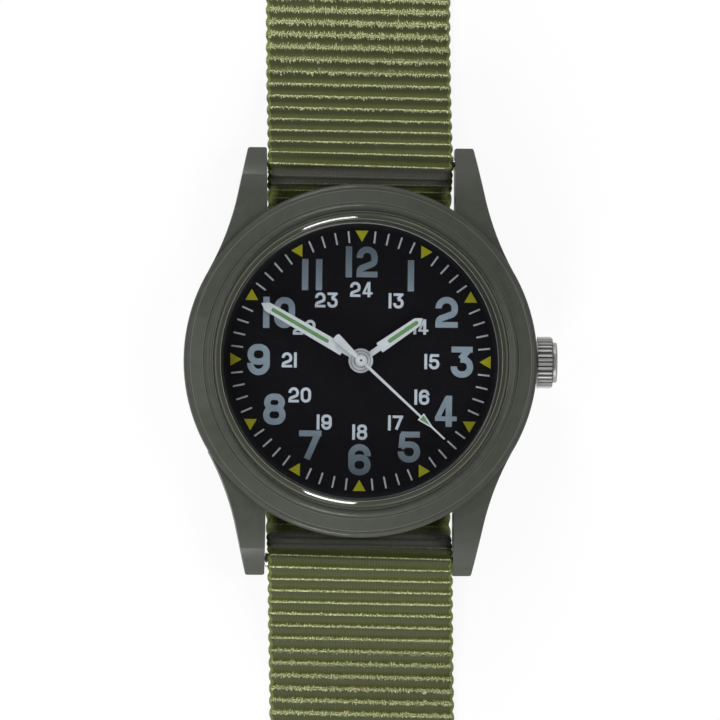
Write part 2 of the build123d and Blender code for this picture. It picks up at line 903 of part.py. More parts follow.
def make_hour_wheel():
    """The hour wheel with the pipe that carries the hour hand."""
    bottom = mainplate_top + hour_wheel_lift
    wheel = gear(
        hour_wheel_teeth, hour_module, hour_pipe_inner, bottom, bottom + wheel_thickness, hour_turn
    )
    top = hour_hand_bottom + hand_thickness + stack_gap
    return wheel + ring(hour_pipe_inner, hour_pipe_outer, bottom, top)


def make_setting_wheel():
    """The small wheel that the sliding pinion drives when the crown is pulled."""
    bore = post_radius + running_gap
    bottom = mainplate_top + fine_gap
    top = mainplate_top + minute_wheel_lift + wheel_thickness
    return gear(setting_wheel_teeth, cannon_module, bore, bottom, top, setting_turn, setting_place)


# Train on the movement side


def make_second_wheel():
    """The wheel, pinion and long arbor that carry the second hand."""
    bottom = back_top + second_wheel_height
    pinion_bottom = back_top + third_wheel_height - pinion_overlap
    pinion_top = back_top + third_wheel_height + wheel_thickness + pinion_overlap
    wheel = gear(
        second_wheel_teeth, fifth_module, 0, bottom, bottom + wheel_thickness, second_turn
    )
    wheel += gear(second_pinion_teeth, second_module, 0, pinion_bottom, pinion_top, second_turn)
    arbor_top = second_hand_bottom + second_hand_thickness + second_hub_height / 2
    return wheel + disc(arbor_radius, bridge_bottom + stack_gap, arbor_top)


def make_third_wheel():
    """The wheel between the second and centre wheels."""
    bottom = back_top + third_wheel_height
    wheel = gear(
        third_wheel_teeth, second_module, 0, bottom, bottom + wheel_thickness, third_turn, third_place
    )
    wheel += disc(arbor_radius, bridge_bottom + stack_gap, mainplate_bottom, third_place)
    top = mainplate_top + centre_wheel_lift + wheel_thickness + fine_gap
    pinion_bottom = mainplate_bottom - stack_gap
    return wheel + gear(
        third_pinion_teeth, third_module, 0, pinion_bottom, top, third_turn, third_place
    )


def make_fifth_wheel():
    """The wheel between the rotor and the second wheel."""
    bottom = back_top + fifth_wheel_height
    wheel = gear(
        fifth_wheel_teeth,
        rotor_module,
        0,
        bottom,
        bottom + wheel_thickness,
        fifth_pinion_turn,
        fifth_place,
    )
    low = back_top + second_wheel_height - pinion_overlap
    high = back_top + second_wheel_height + wheel_thickness + pinion_overlap
    wheel += gear(fifth_pinion_teeth, fifth_module, 0, low, high, fifth_pinion_turn, fifth_place)
    arbor_top = mainplate_bottom + pivot_depth
    return wheel + disc(arbor_radius, bridge_bottom + stack_gap, arbor_top, fifth_place)


def make_rotor_magnet():
    """The round magnet that the stator turns."""
    bottom = bridge_top + stack_gap
    return ring(arbor_radius, rotor_magnet_radius, bottom, bottom + rotor_magnet_height, rotor_place)


def make_rotor_pinion():
    """The rotor's arbor with its pinion."""
    low = back_top + fifth_wheel_height - pinion_overlap
    high = back_top + fifth_wheel_height + wheel_thickness + pinion_overlap
    pinion = gear(rotor_pinion_teeth, rotor_module, 0, low, high, rotor_turn, rotor_place)
    arbor_top = mainplate_bottom + pivot_depth
    return pinion + disc(arbor_radius, bridge_bottom + stack_gap, arbor_top, rotor_place)


# Fixed parts of the movement


def make_movement_ring():
    """The plastic ring that holds the movement under the dial."""
    outer = case_bore_radius - running_gap
    body = ring(movement_ring_wall_radius, outer, back_top, dial_bottom)
    body += ring(movement_ring_ledge_radius, movement_ring_wall_radius, back_top, mainplate_bottom)
    hole = stem_radius + stem_hole_gap
    return body - rod(hole, movement_ring_ledge_radius - cut_overrun, outer + cut_overrun, stem_axis)


def make_mainplate():
    """The plate that carries the movement, with its pillars, posts and pockets."""
    radius = movement_ring_wall_radius - running_gap
    plate = disc(radius, mainplate_bottom, mainplate_top)
    boss_bottom = mainplate_bottom - stem_boss_depth
    half = stem_boss_width / 2
    plate += block((stem_boss_start, -half, boss_bottom), (stem_boss_end, half, mainplate_bottom))
    for place in bridge_pillars:
        plate += disc(pillar_radius, bridge_top, mainplate_bottom, place)
    for place in board_pillars:
        plate += disc(pillar_radius, board_top, mainplate_bottom, place)
    plate += disc(pillar_radius, battery_bottom, mainplate_bottom, clamp_pillar)
    for place in coil_screw_places:
        plate += disc(coil_eye_radius, stator_top + coil_core_height, mainplate_bottom, place)
    for place, top in (
        (minute_place, mainplate_top + hour_wheel_lift + wheel_thickness + stack_gap),
        (setting_place, mainplate_top + hour_wheel_lift),
        ((lever_pivot_reach, lever_pivot_offset), mainplate_top + hour_wheel_lift),
        ((yoke_pivot_reach(), yoke_pivot_offset), mainplate_top + hour_wheel_lift),
    ):
        plate += disc(post_radius, mainplate_top, top, place)
    plate -= disc(centre_tube_outer, mainplate_bottom - cut_overrun, mainplate_top + cut_overrun)
    third_hole = crest_radius(third_pinion_teeth, third_module) + running_gap
    plate -= disc(third_hole, mainplate_bottom - cut_overrun, mainplate_top + cut_overrun, third_place)
    pivot_hole = arbor_radius + running_gap
    pivot_top = mainplate_bottom + pivot_depth + stack_gap
    for place in (fifth_place, rotor_place):
        plate -= disc(pivot_hole, mainplate_bottom - cut_overrun, pivot_top, place)
    pocket = battery_radius + battery_pocket_gap
    plate -= disc(pocket, mainplate_bottom - cut_overrun, battery_bottom + battery_height, battery_place)
    start, end = coil_ends()
    low = (start - stack_gap, coil_reach - coil_radius - stack_gap, mainplate_bottom - cut_overrun)
    high = (end + stack_gap, coil_reach + coil_radius + stack_gap, coil_axis() + coil_radius + stack_gap)
    plate -= block(low, high)
    stem_bore = stem_radius + running_gap
    plate -= rod(stem_bore, pocket_end - fine_gap, radius + cut_overrun, stem_axis)
    pilot_bore = stem_pilot_radius + running_gap
    plate -= rod(pilot_bore, stem_pilot_start - running_gap, pocket_start + fine_gap, stem_axis)
    deep = sliding_pinion_radius + pocket_wall
    low = (pocket_start, -deep, stem_axis - deep)
    plate -= block(low, (pocket_end, deep, mainplate_top + cut_overrun))
    slot_start = stem_groove_start - pocket_wall
    slot_end = stem_groove_start + stem_groove_length + crown_pull_length + pocket_wall
    low = (slot_start, lever_nib_offset - lever_nib_radius - pocket_wall, stem_axis - stem_radius)
    plate -= block(low, (slot_end, 0, mainplate_top + cut_overrun))
    for turn in (dial_foot_angle, dial_foot_angle + 180):
        place = polar(dial_foot_reach, turn)
        hole_bottom = dial_bottom - dial_foot_length - stack_gap
        plate -= disc(dial_foot_radius + running_gap, hole_bottom, mainplate_top + cut_overrun, place)
    for place in (*bridge_pillars, *board_pillars, clamp_pillar):
        plate -= disc(screw_shank_radius, back_top, mainplate_bottom + screw_bite, place)
    for place in coil_screw_places:
        plate -= disc(coil_screw_shank_radius, back_top, mainplate_bottom + screw_bite, place)
    return plate


def make_train_bridge():
    """The bridge under the train, held on three pillars."""
    outline = make_face(Polyline(*bridge_outline(), close=True))
    outline = offset(outline, bridge_border)
    bridge = slab(outline, bridge_bottom, bridge_top)
    for place in bridge_pillars:
        bridge -= disc(screw_shank_radius, back_top, bridge_top + cut_overrun, place)
    for place in ((0, 0), third_place, fifth_place, rotor_place):
        bridge -= disc(arbor_radius + running_gap, back_top, bridge_top + cut_overrun, place)
    return bridge


def bridge_outline():
    """The corners of the train bridge, in order."""
    first, second, third = bridge_pillars
    corner = (rotor_place[0] + bridge_border, rotor_place[1])
    return (first, second, corner, third)


def screw(place, head_top, shank_radius, head_radius, top):
    """One screw with its head below and its shank up to a height."""
    head = disc(head_radius, head_top - screw_head_height, head_top, place)
    head += disc(shank_radius, head_top, top, place)
    slot = block(
        (place[0] - head_radius - cut_overrun, place[1] - screw_slot_width / 2, back_bottom),
        (
            place[0] + head_radius + cut_overrun,
            place[1] + screw_slot_width / 2,
            head_top - screw_head_height / 2,
        ),
    )
    return head - slot


def make_movement_screws():
    """The screws of the bridge, the board and the battery clamp."""
    top = mainplate_bottom + screw_bite
    screws = []
    for place in bridge_pillars:
        screws.append(screw(place, bridge_bottom, screw_shank_radius, screw_head_radius, top))
    for place in board_pillars:
        screws.append(screw(place, board_bottom, screw_shank_radius, screw_head_radius, top))
    clamp_bottom = battery_bottom - clamp_thickness
    screws.append(screw(clamp_pillar, clamp_bottom, screw_shank_radius, screw_head_radius, top))
    return together(*screws)


def coil_ends():
    """Where the winding starts and ends along X."""
    return coil_near_end + coil_end_margin, coil_far_end - coil_end_margin


def coil_axis():
    """The height of the middle of the core."""
    return stator_top + coil_core_height / 2


def make_stator():
    """The stator with its two legs to the coil."""
    outer = rotor_magnet_radius + stator_gap + stator_ring_width
    plate = disc(outer, stator_bottom, stator_top, rotor_place)
    for place, way in zip(coil_screw_places, (-1, 1)):
        foot = (rotor_place[0] + way * rotor_magnet_radius, rotor_place[1] + stator_gap)
        plate += capsule(foot, place, stator_leg_width, stator_bottom, stator_top)
    plate -= disc(rotor_magnet_radius + stator_gap, back_top, mainplate_top, rotor_place)
    for place in coil_screw_places:
        plate -= disc(coil_screw_shank_radius, back_top, mainplate_top, place)
    return plate


def make_coil_core():
    """The flat core on the stator's legs."""
    top = stator_top + coil_core_height
    half = coil_core_width / 2
    core = block((coil_near_end, coil_reach - half, stator_top), (coil_far_end, coil_reach + half, top))
    for place in coil_screw_places:
        core += disc(coil_eye_radius, stator_top, top, place)
    for place in coil_screw_places:
        core -= disc(coil_screw_shank_radius, back_top, mainplate_top, place)
    return core


def make_coil():
    """The winding round the core."""
    start, end = coil_ends()
    winding = rod(coil_radius, start, end, coil_axis(), coil_reach)
    half = coil_core_width / 2
    low = (start - cut_overrun, coil_reach - half, stator_top)
    high = (end + cut_overrun, coil_reach + half, stator_top + coil_core_height)
    return winding - block(low, high)


def make_coil_screws():
    """The two screws that hold the stator and the core."""
    top = mainplate_bottom + screw_bite
    screws = [
        screw(place, stator_bottom, coil_screw_shank_radius, coil_screw_head_radius, top)
        for place in coil_screw_places
    ]
    return together(*screws)


def make_circuit_board():
    """The board beside the train, a piece of a ring."""
    band = ring(board_inner_radius, board_outer_radius, board_bottom, board_top)
    far = board_outer_radius * 2
    middle = (board_start_angle + board_end_angle) / 2
    corners = [polar(far, turn) for turn in (board_start_angle, middle, board_end_angle)]
    wedge = slab(make_face(Polyline((0, 0), *corners, close=True)), back_top, mainplate_top)
    board = band & wedge
    for place in board_pillars:
        board -= disc(screw_shank_radius, back_top, mainplate_top, place)
    return board


def make_circuit_chip():
    """The chip on the board."""
    x, y = polar(chip_reach, chip_angle)
    half = chip_size / 2
    return block((x - half, y - half, board_top), (x + half, y + half, board_top + chip_height))


def make_quartz_crystal():
    """The can of the quartz crystal, lying on the board."""
    can = Cylinder(can_radius, can_length, align=(Align.CENTER, Align.CENTER, Align.MIN))
    return Pos(-can_reach, can_start, board_top + can_radius) * Rot(-90, 0, 0) * can


def make_battery():
    """The button cell, with the step of its negative side."""
    top = battery_bottom + battery_height
    shoulder = top - battery_step
    body = disc(battery_radius, battery_bottom, shoulder, battery_place)
    return body + disc(battery_radius - battery_step, shoulder, top, battery_place)


def make_battery_clamp():
    """The springy strip that holds the battery."""
    x, y = battery_place
    reach = math.dist(battery_place, clamp_pillar)
    way = ((x - clamp_pillar[0]) / reach, (y - clamp_pillar[1]) / reach)
    tip = (x + way[0] * clamp_tip_length, y + way[1] * clamp_tip_length)
    bottom = battery_bottom - clamp_thickness
    clamp = capsule(clamp_pillar, tip, clamp_width, bottom, battery_bottom)
    return clamp - disc(screw_shank_radius, back_top, battery_bottom + cut_overrun, clamp_pillar)


def make_centre_tube():
    """The fixed tube that the cannon pinion turns round."""
    top = minute_hand_bottom + hand_thickness + stack_gap - centre_tube_end_gap
    return ring(centre_tube_inner, centre_tube_outer, mainplate_bottom, top)


# Setting parts


def yoke_pivot_reach():
    """The yoke's pivot stands in the middle of its nib's path."""
    middle = sliding_pinion_start + sliding_pinion_groove_start + sliding_pinion_groove_length / 2
    return middle - pinion_shift_length / 2


def make_setting_lever():
    """The lever whose nib rides in the stem's groove."""
    bottom = mainplate_top + stack_gap
    top = bottom + setting_plate_thickness
    pivot = (lever_pivot_reach, lever_pivot_offset)
    nib = (stem_groove_start + stem_groove_length / 2, lever_nib_offset)
    lever = capsule(pivot, nib, setting_plate_width, bottom, top)
    lever -= disc(post_radius + running_gap, back_top, top + cut_overrun, pivot)
    nib_bottom = stem_axis - nib_depth
    return lever + disc(lever_nib_radius, nib_bottom, bottom, nib)


def make_yoke():
    """The yoke whose nib rides in the sliding pinion's groove."""
    bottom = mainplate_top + stack_gap
    top = bottom + setting_plate_thickness
    pivot = (yoke_pivot_reach(), yoke_pivot_offset)
    nib = (yoke_pivot_reach() + pinion_shift_length / 2, yoke_nib_offset)
    yoke = capsule(pivot, nib, setting_plate_width, bottom, top)
    yoke -= disc(post_radius + running_gap, back_top, top + cut_overrun, pivot)
    nib_bottom = stem_axis - nib_depth
    return yoke + disc(yoke_nib_radius, nib_bottom, bottom, nib)


def make_sliding_pinion():
    """The pinion that slides on the stem's square."""
    end = sliding_pinion_start + sliding_pinion_length
    body = rod(sliding_pinion_radius, sliding_pinion_start, end, stem_axis)
    groove_start = sliding_pinion_start + sliding_pinion_groove_start
    groove_end = groove_start + sliding_pinion_groove_length
    body -= sleeve(
        sliding_pinion_groove_radius,
        sliding_pinion_radius + cut_overrun,
        groove_start,
        groove_end,
        stem_axis,
    )
    half = stem_square_width / 2 + fine_gap
    low = (sliding_pinion_start - cut_overrun, -half, stem_axis - half)
    body -= block(low, (end + cut_overrun, half, stem_axis + half))
    tooth_gap = sliding_pinion_tooth_depth / 2
    for tooth in range(sliding_pinion_teeth):
        cut = block(
            (
                sliding_pinion_start - cut_overrun,
                -tooth_gap,
                sliding_pinion_radius - sliding_pinion_tooth_depth,
            ),
            (
                sliding_pinion_start + sliding_pinion_tooth_length,
                tooth_gap,
                sliding_pinion_radius + cut_overrun,
            ),
        )
        body -= Pos(0, 0, stem_axis) * Rot(tooth * 360 / sliding_pinion_teeth, 0, 0) * cut
    return body


def make_stem():
    """The stem, from its pilot in the mainplate to the crown."""
    square = stem_square_width / 2
    groove_end = stem_groove_start + stem_groove_length
    crown_inside = crown_start + crown_length + crown_disc_length - crown_end_wall
    stem = rod(stem_pilot_radius, stem_pilot_start, stem_square_start, stem_axis)
    stem += block(
        (stem_square_start, -square, stem_axis - square),
        (stem_square_end, square, stem_axis + square),
    )
    stem += rod(stem_radius, stem_square_end, stem_groove_start, stem_axis)
    stem += rod(stem_pilot_radius, stem_groove_start, groove_end, stem_axis)
    return stem + rod(stem_radius, groove_end, crown_inside + stem_crown_depth, stem_axis)


def make_crown():
    """The fluted crown with its raised end disc."""
    end = crown_start + crown_length
    body = rod(crown_radius, crown_start, end, stem_axis)
    outer_rim = body.edges().filter_by(GeomType.CIRCLE).sort_by(Axis.X)[-1]
    body = chamfer(outer_rim, crown_chamfer)
    corner = crown_flute_depth * math.sqrt(2)
    flute_length = 2 * (crown_length + cut_overrun)
    groove = Pos(0, 0, crown_radius) * Rot(45, 0, 0) * Box(flute_length, corner, corner)
    for flute in range(crown_flutes):
        turn = Pos(end, 0, stem_axis) * Rot(flute * 360 / crown_flutes, 0, 0)
        body -= turn * groove
    disc_end = end + crown_disc_length
    end_disc = rod(crown_disc_radius, end - crown_chamfer, disc_end, stem_axis)
    outer_edge = end_disc.edges().filter_by(GeomType.CIRCLE).sort_by(Axis.X)[-1]
    body += fillet(outer_edge, crown_disc_round)
    inside = disc_end - crown_end_wall
    body -= rod(crown_tube_radius + running_gap, crown_start - cut_overrun, inside, stem_axis)
    gasket_start = crown_start + crown_gasket_start_gap
    groove_radius = crown_tube_radius + running_gap + crown_gasket_width + running_gap
    body -= rod(
        groove_radius,
        gasket_start - running_gap,
        gasket_start + crown_gasket_length + running_gap,
        stem_axis,
    )
    return body - rod(stem_radius, inside - fine_gap, inside + stem_crown_depth, stem_axis)


def make_crown_gasket():
    """The ring that seals the crown on its tube."""
    start = crown_start + crown_gasket_start_gap
    inner = crown_tube_radius + pipe_gap
    return sleeve(inner, inner + crown_gasket_width, start, start + crown_gasket_length, stem_axis)


# Spring bars


def pin_flange_end():
    """Where a pin's flange stands against the lug."""
    return lug_gap / 2 - lug_end_gap


def tube_half_length():
    """The tube ends where a pressed-in pin's flange stops."""
    return pin_flange_end() - pin_flange_thickness - pin_travel - running_gap


def make_spring_bar_tube(side):
    """The outer tube of one spring bar."""
    half = tube_half_length()
    return sleeve(spring_bar_bore_radius, spring_bar_radius, -half, half, bar_axis, side)


def make_spring_bar_pin(side, way):
    """One end pin, with its flange, its tip and the spigot in the spring."""
    flange = pin_flange_end()
    body_start = flange - pin_flange_thickness - pin_body_length
    tip_end = flange + lug_end_gap + lug_hole_depth - pin_tip_gap
    pin = rod(pin_tip_radius, flange, tip_end, bar_axis, side)
    pin += rod(pin_flange_radius, flange - pin_flange_thickness, flange, bar_axis, side)
    body_end = flange - pin_flange_thickness
    pin += rod(spring_bar_bore_radius - running_gap, body_start, body_end, bar_axis, side)
    pin += rod(pin_spigot_radius, body_start - pin_spigot_length, body_start, bar_axis, side)
    if way < 0:
        pin = mirror(pin, Plane.YZ)
    return pin


def make_spring_bar_spring(side):
    """The spring between the pins, as a plain sleeve at its pressed length."""
    half = pin_flange_end() - pin_flange_thickness - pin_body_length - pin_travel - running_gap
    outer = spring_bar_bore_radius - running_gap
    return sleeve(outer - pin_spring_wall, outer, -half, half, bar_axis, side)


# Strap


def strap_layer_height():
    """The middle of the top layer where it lies over the loop's lower run."""
    return strap_thickness + stack_gap + loop_thickness + stack_gap + strap_thickness / 2


def buckle_wrap_radius():
    """The strap's middle line round the buckle bar."""
    return buckle_bar_radius + fabric_gap + strap_thickness / 2


def buckle_axis():
    """The height of the buckle bar, set by the lower layer on the table."""
    return strap_thickness / 2 + buckle_wrap_radius()


def strap_hump(way):
    """The corners and radii of the strap's way over one spring bar."""
    wrap = spring_bar_radius + running_gap + strap_thickness / 2
    low = strap_thickness / 2
    climb = math.radians(strap_climb_angle)
    fall = math.radians(strap_fall_angle)
    half_turn = (climb + fall) / 2
    lean = math.pi / 2 + (climb - fall) / 2
    apex_far = wrap / math.cos(half_turn)
    apex_y = spring_bar_reach + apex_far * math.cos(lean)
    apex_z = bar_axis + apex_far * math.sin(lean)
    foot_y = apex_y - (apex_z - low) / math.tan(climb)
    landing_y = apex_y + (apex_z - low) / math.tan(fall)
    corners = [(way * foot_y, low), (way * apex_y, apex_z), (way * landing_y, low)]
    return corners, [strap_corner_radius, wrap, strap_landing_radius]


def strap_route():
    """The strap's middle line from its tail to its folded end."""
    low = strap_thickness / 2
    top = strap_layer_height()
    wrap = buckle_wrap_radius()
    axis = buckle_axis()
    fold_start = buckle_bar_reach - fold_back_length
    ramp_end = fold_start - fold_margin
    climb_start = buckle_bar_reach - fold_climb_length
    tail, tail_radii = strap_hump(-1)
    head, head_radii = strap_hump(1)
    corners = [(-strap_tail_reach, low), *reversed(tail), *head]
    corners += [(ramp_end - fold_ramp_length, low), (ramp_end, top), (climb_start, top)]
    reach = math.dist((climb_start, top), (buckle_bar_reach, axis))
    rise = math.atan2(axis - top, fold_climb_length) + math.asin(wrap / reach)
    run = math.sqrt(reach**2 - wrap**2)
    corners += [(climb_start + run * math.cos(rise), top + run * math.sin(rise))]
    radii = [*reversed(tail_radii), *head_radii, strap_ramp_radius, strap_ramp_radius]
    radii += [strap_ramp_radius]
    return corners, radii, fold_start


def make_strap():
    """The one-piece strap, swept along its way and then cut to shape."""
    corners, radii, fold_start = strap_route()
    low = strap_thickness / 2
    wrap = buckle_wrap_radius()
    points = [(0, y, z) for y, z in corners]
    turn_side = (0, buckle_bar_reach + wrap, buckle_axis())
    turn_bottom = (0, buckle_bar_reach, low)
    path = FilletPolyline(*points, radius=radii)
    path += ThreePointArc(points[-1], turn_side, turn_bottom)
    path += Line(turn_bottom, (0, fold_start, low))
    section = Plane.XZ.offset(strap_tail_reach) * Pos(0, low) * Rectangle(strap_width, strap_thickness)
    strap = sweep(section, path=path)
    return shape_strap(strap)


def shape_strap(strap):
    """Cut the rounded tip, the holes and the tongue's slot."""
    half = strap_width / 2
    shoulder = -strap_tail_reach + strap_tip_rise
    far = buckle_bar_reach * 2
    edge = Curve() + [
        ThreePointArc((-half, shoulder), (0, -strap_tail_reach), (half, shoulder)),
        Polyline((half, shoulder), (half, far), (-half, far), (-half, shoulder)),
    ]
    strap &= slab(make_face(edge), -cut_overrun, buckle_bar_reach)
    for hole in range(strap_holes):
        place = (0, -strap_first_hole_reach - hole * strap_hole_pitch)
        strap -= disc(strap_hole_radius, -cut_overrun, strap_thickness + cut_overrun, place)
    slot = tongue_width / 2 + tongue_slot_gap
    low = (-slot, buckle_bar_reach - tongue_slot_reach, -cut_overrun)
    high = (slot, buckle_bar_reach * 2, buckle_bar_reach)
    return strap - block(low, high)


def make_strap_loop():
    """The loop that keeps the strap's tail, with its lower run between the layers."""
    end = buckle_bar_reach - loop_bar_distance
    start = end - loop_length
    inner = strap_width / 2 + loop_side_gap
    outer = inner + loop_thickness
    bottom = strap_thickness + stack_gap
    tail_room = strap_thickness + loop_headroom
    inner_top = strap_layer_height() + strap_thickness / 2 + tail_room
    top = inner_top + loop_thickness
    body = block((-outer, start, bottom), (outer, end, top))
    body = fillet(body.edges().filter_by(Axis.Y), loop_corner_radius)
    hole = block(
        (-inner, start - cut_overrun, bottom + loop_thickness),
        (inner, end + cut_overrun, inner_top),
    )
    return body - fillet(hole.edges().filter_by(Axis.Y), loop_inner_corner_radius)


# Buckle


def arm_start():
    """The inner side of the buckle's arms."""
    return strap_width / 2 + buckle_arm_gap


def front_tilt():
    """How far the buckle leans so that its front lies on the table."""
    front = buckle_reach - buckle_front_width / 2
    drop = buckle_axis() - buckle_plate_thickness / 2 - fabric_gap
    return math.degrees(math.asin(drop / front))


def make_buckle_bar():
    """The bar that the strap's end is sewn round."""
    end = arm_start() + buckle_arm_width + buckle_bar_overhang
    return rod(buckle_bar_radius, -end, end, buckle_axis(), buckle_bar_reach)


def at_buckle(shape):
    """Put a shape drawn about the bar's axis in its place, leaning down."""
    return Pos(0, buckle_bar_reach, buckle_axis()) * Rot(-front_tilt(), 0, 0) * shape


def make_buckle_frame():
    """The frame with an eye on each arm."""
    inner = arm_start()
    outer = inner + buckle_arm_width
    half = buckle_plate_thickness / 2
    window_end = buckle_reach - buckle_front_width
    plate = block((-outer, 0, -half), (outer, buckle_reach, half))
    corners = plate.edges().filter_by(Axis.Z).sort_by(Axis.Y)[-2:]
    plate = fillet(corners, buckle_corner_radius)
    window = block((-inner, -cut_overrun, -half - cut_overrun), (inner, window_end, half + cut_overrun))
    corners = window.edges().filter_by(Axis.Z).sort_by(Axis.Y)[-2:]
    plate -= fillet(corners, buckle_inner_corner_radius)
    rim = plate.edges().filter_by(Plane.XY).group_by(Axis.Z)[-1]
    plate = fillet(rim.filter_by(lambda e: e.center().Y > buckle_eye_radius), buckle_rim_round)
    bar_hole = buckle_bar_radius + running_gap
    for start in (-outer, inner):
        plate += rod(buckle_eye_radius, start, start + buckle_arm_width, 0)
    plate -= rod(bar_hole, -outer - cut_overrun, outer + cut_overrun, 0)
    return at_buckle(plate)


def make_buckle_tongue():
    """The tongue, turning on the bar and resting on the frame."""
    half = tongue_width / 2
    tip_half = tongue_tip_width / 2
    low = buckle_plate_thickness / 2 + stack_gap
    high = low + tongue_thickness
    end = buckle_reach + tongue_tip_overhang
    eye = rod(tongue_eye_radius, -half, half, 0)
    outline = make_face(
        Polyline(
            (-half, 0), (half, 0), (half, tongue_taper_reach), (tip_half, end), (-tip_half, end),
            (-half, tongue_taper_reach), close=True,
        )
    )
    blade = slab(outline, low, high)
    tongue = eye + blade
    tongue -= rod(buckle_bar_radius + running_gap, -half - cut_overrun, half + cut_overrun, 0)
    return at_buckle(tongue)


makers = {
    "case": make_case,
    "case_back": make_case_back,
    "case_back_gasket": make_case_back_gasket,
    "crystal": make_crystal,
    "crystal_gasket": make_crystal_gasket,
    "crown_tube": make_crown_tube,
    "dial_flange": make_dial_flange,
    "dial": make_dial,
    "hour_hand": make_hour_hand,
    "minute_hand": make_minute_hand,
    "second_hand": make_second_hand,
    "second_hand_lume": make_second_hand_lume,
    "centre_wheel": make_centre_wheel,
    "cannon_pinion": make_cannon_pinion,
    "minute_wheel": make_minute_wheel,
    "hour_wheel": make_hour_wheel,
    "setting_wheel": make_setting_wheel,
    "second_wheel": make_second_wheel,
    "third_wheel": make_third_wheel,
    "fifth_wheel": make_fifth_wheel,
    "rotor_magnet": make_rotor_magnet,
    "rotor_pinion": make_rotor_pinion,
    "movement_ring": make_movement_ring,
    "mainplate": make_mainplate,
    "train_bridge": make_train_bridge,
    "movement_screws": make_movement_screws,
    "stator": make_stator,
    "coil_core": make_coil_core,
    "coil": make_coil,
    "coil_screws": make_coil_screws,
    "circuit_board": make_circuit_board,
    "circuit_chip": make_circuit_chip,
    "quartz_crystal": make_quartz_crystal,
    "battery": make_battery,
    "battery_clamp": make_battery_clamp,
    "centre_tube": make_centre_tube,
    "setting_lever": make_setting_lever,
    "yoke": make_yoke,
    "sliding_pinion": make_sliding_pinion,
    "stem": make_stem,
    "crown": make_crown,
    "crown_gasket": make_crown_gasket,
    "strap": make_strap,
    "strap_loop": make_strap_loop,
    "buckle_bar": make_buckle_bar,
    "buckle_frame": make_buckle_frame,
    "buckle_tongue": make_buckle_tongue,
}


def main():
    """Build every piece and write it."""
    os.makedirs("parts", exist_ok=True)
    for name, maker in makers.items():
        write(name, maker())
    write(
        "hour_hand_lume",
        lume_in_hand(
            hour_lume_start, hour_lume_end, hour_lume_width, hour_hand_bottom, hour_clock_angle
        ),
    )
    write(
        "minute_hand_lume",
        lume_in_hand(
            minute_lume_start, minute_lume_end, minute_lume_width, minute_hand_bottom, minute_clock_angle
        ),
    )
    for end_name, end_way in (("top", 1), ("bottom", -1)):
        side = end_way * spring_bar_reach
        write("spring_bar_tube_" + end_name, make_spring_bar_tube(side))
        write("spring_bar_spring_" + end_name, make_spring_bar_spring(side))
        for side_name, way in (("right", 1), ("left", -1)):
            write("spring_bar_pin_" + end_name + "_" + side_name, make_spring_bar_pin(side, way))


main()
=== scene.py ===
"""The looks of the field watch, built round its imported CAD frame. Lengths are metres."""

import json
import logging
import math
from dataclasses import dataclass, replace
from enum import Enum
from typing import Callable, Iterable, Sequence

import bmesh
import bpy
from mathutils import Matrix, Vector

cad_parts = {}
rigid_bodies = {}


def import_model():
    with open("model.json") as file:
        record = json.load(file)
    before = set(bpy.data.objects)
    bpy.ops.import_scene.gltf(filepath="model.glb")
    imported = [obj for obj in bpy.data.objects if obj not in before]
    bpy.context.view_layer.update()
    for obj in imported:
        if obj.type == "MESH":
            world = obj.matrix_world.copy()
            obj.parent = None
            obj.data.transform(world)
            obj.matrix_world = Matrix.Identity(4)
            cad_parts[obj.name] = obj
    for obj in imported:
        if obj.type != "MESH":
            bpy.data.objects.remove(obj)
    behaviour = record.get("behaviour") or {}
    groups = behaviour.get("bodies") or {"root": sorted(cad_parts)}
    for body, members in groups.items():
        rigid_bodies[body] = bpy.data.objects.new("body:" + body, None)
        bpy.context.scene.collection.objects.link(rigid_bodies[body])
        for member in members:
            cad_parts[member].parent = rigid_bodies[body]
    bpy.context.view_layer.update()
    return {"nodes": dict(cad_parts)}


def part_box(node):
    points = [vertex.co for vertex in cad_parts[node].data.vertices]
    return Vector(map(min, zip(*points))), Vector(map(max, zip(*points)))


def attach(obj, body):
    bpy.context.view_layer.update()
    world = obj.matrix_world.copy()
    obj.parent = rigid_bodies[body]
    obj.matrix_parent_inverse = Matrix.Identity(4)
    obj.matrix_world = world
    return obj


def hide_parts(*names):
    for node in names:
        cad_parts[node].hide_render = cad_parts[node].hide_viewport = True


log = logging.getLogger("field_watch")

MM = 0.001
PHOTO_PIXELS = 720
MM_PER_PIXEL = 0.0970
# Degrees that the photograph shows the watch turned by
PHOTO_TURN = 0.35
# The length of one wave of a wave texture whose scale is 1
WAVE_LENGTH = 0.314
X, Y, Z = range(3)

Pair = tuple[float, float]
Point = tuple[float, float]
Triple = tuple[float, float, float]
Colour = tuple[float, float, float]
Socket = bpy.types.NodeSocket


class Slot(Enum):
    """Two of the record's material slots."""

    NYLON = "nylon"
    DIAL_BLACK = "dial_black"


# Node trees


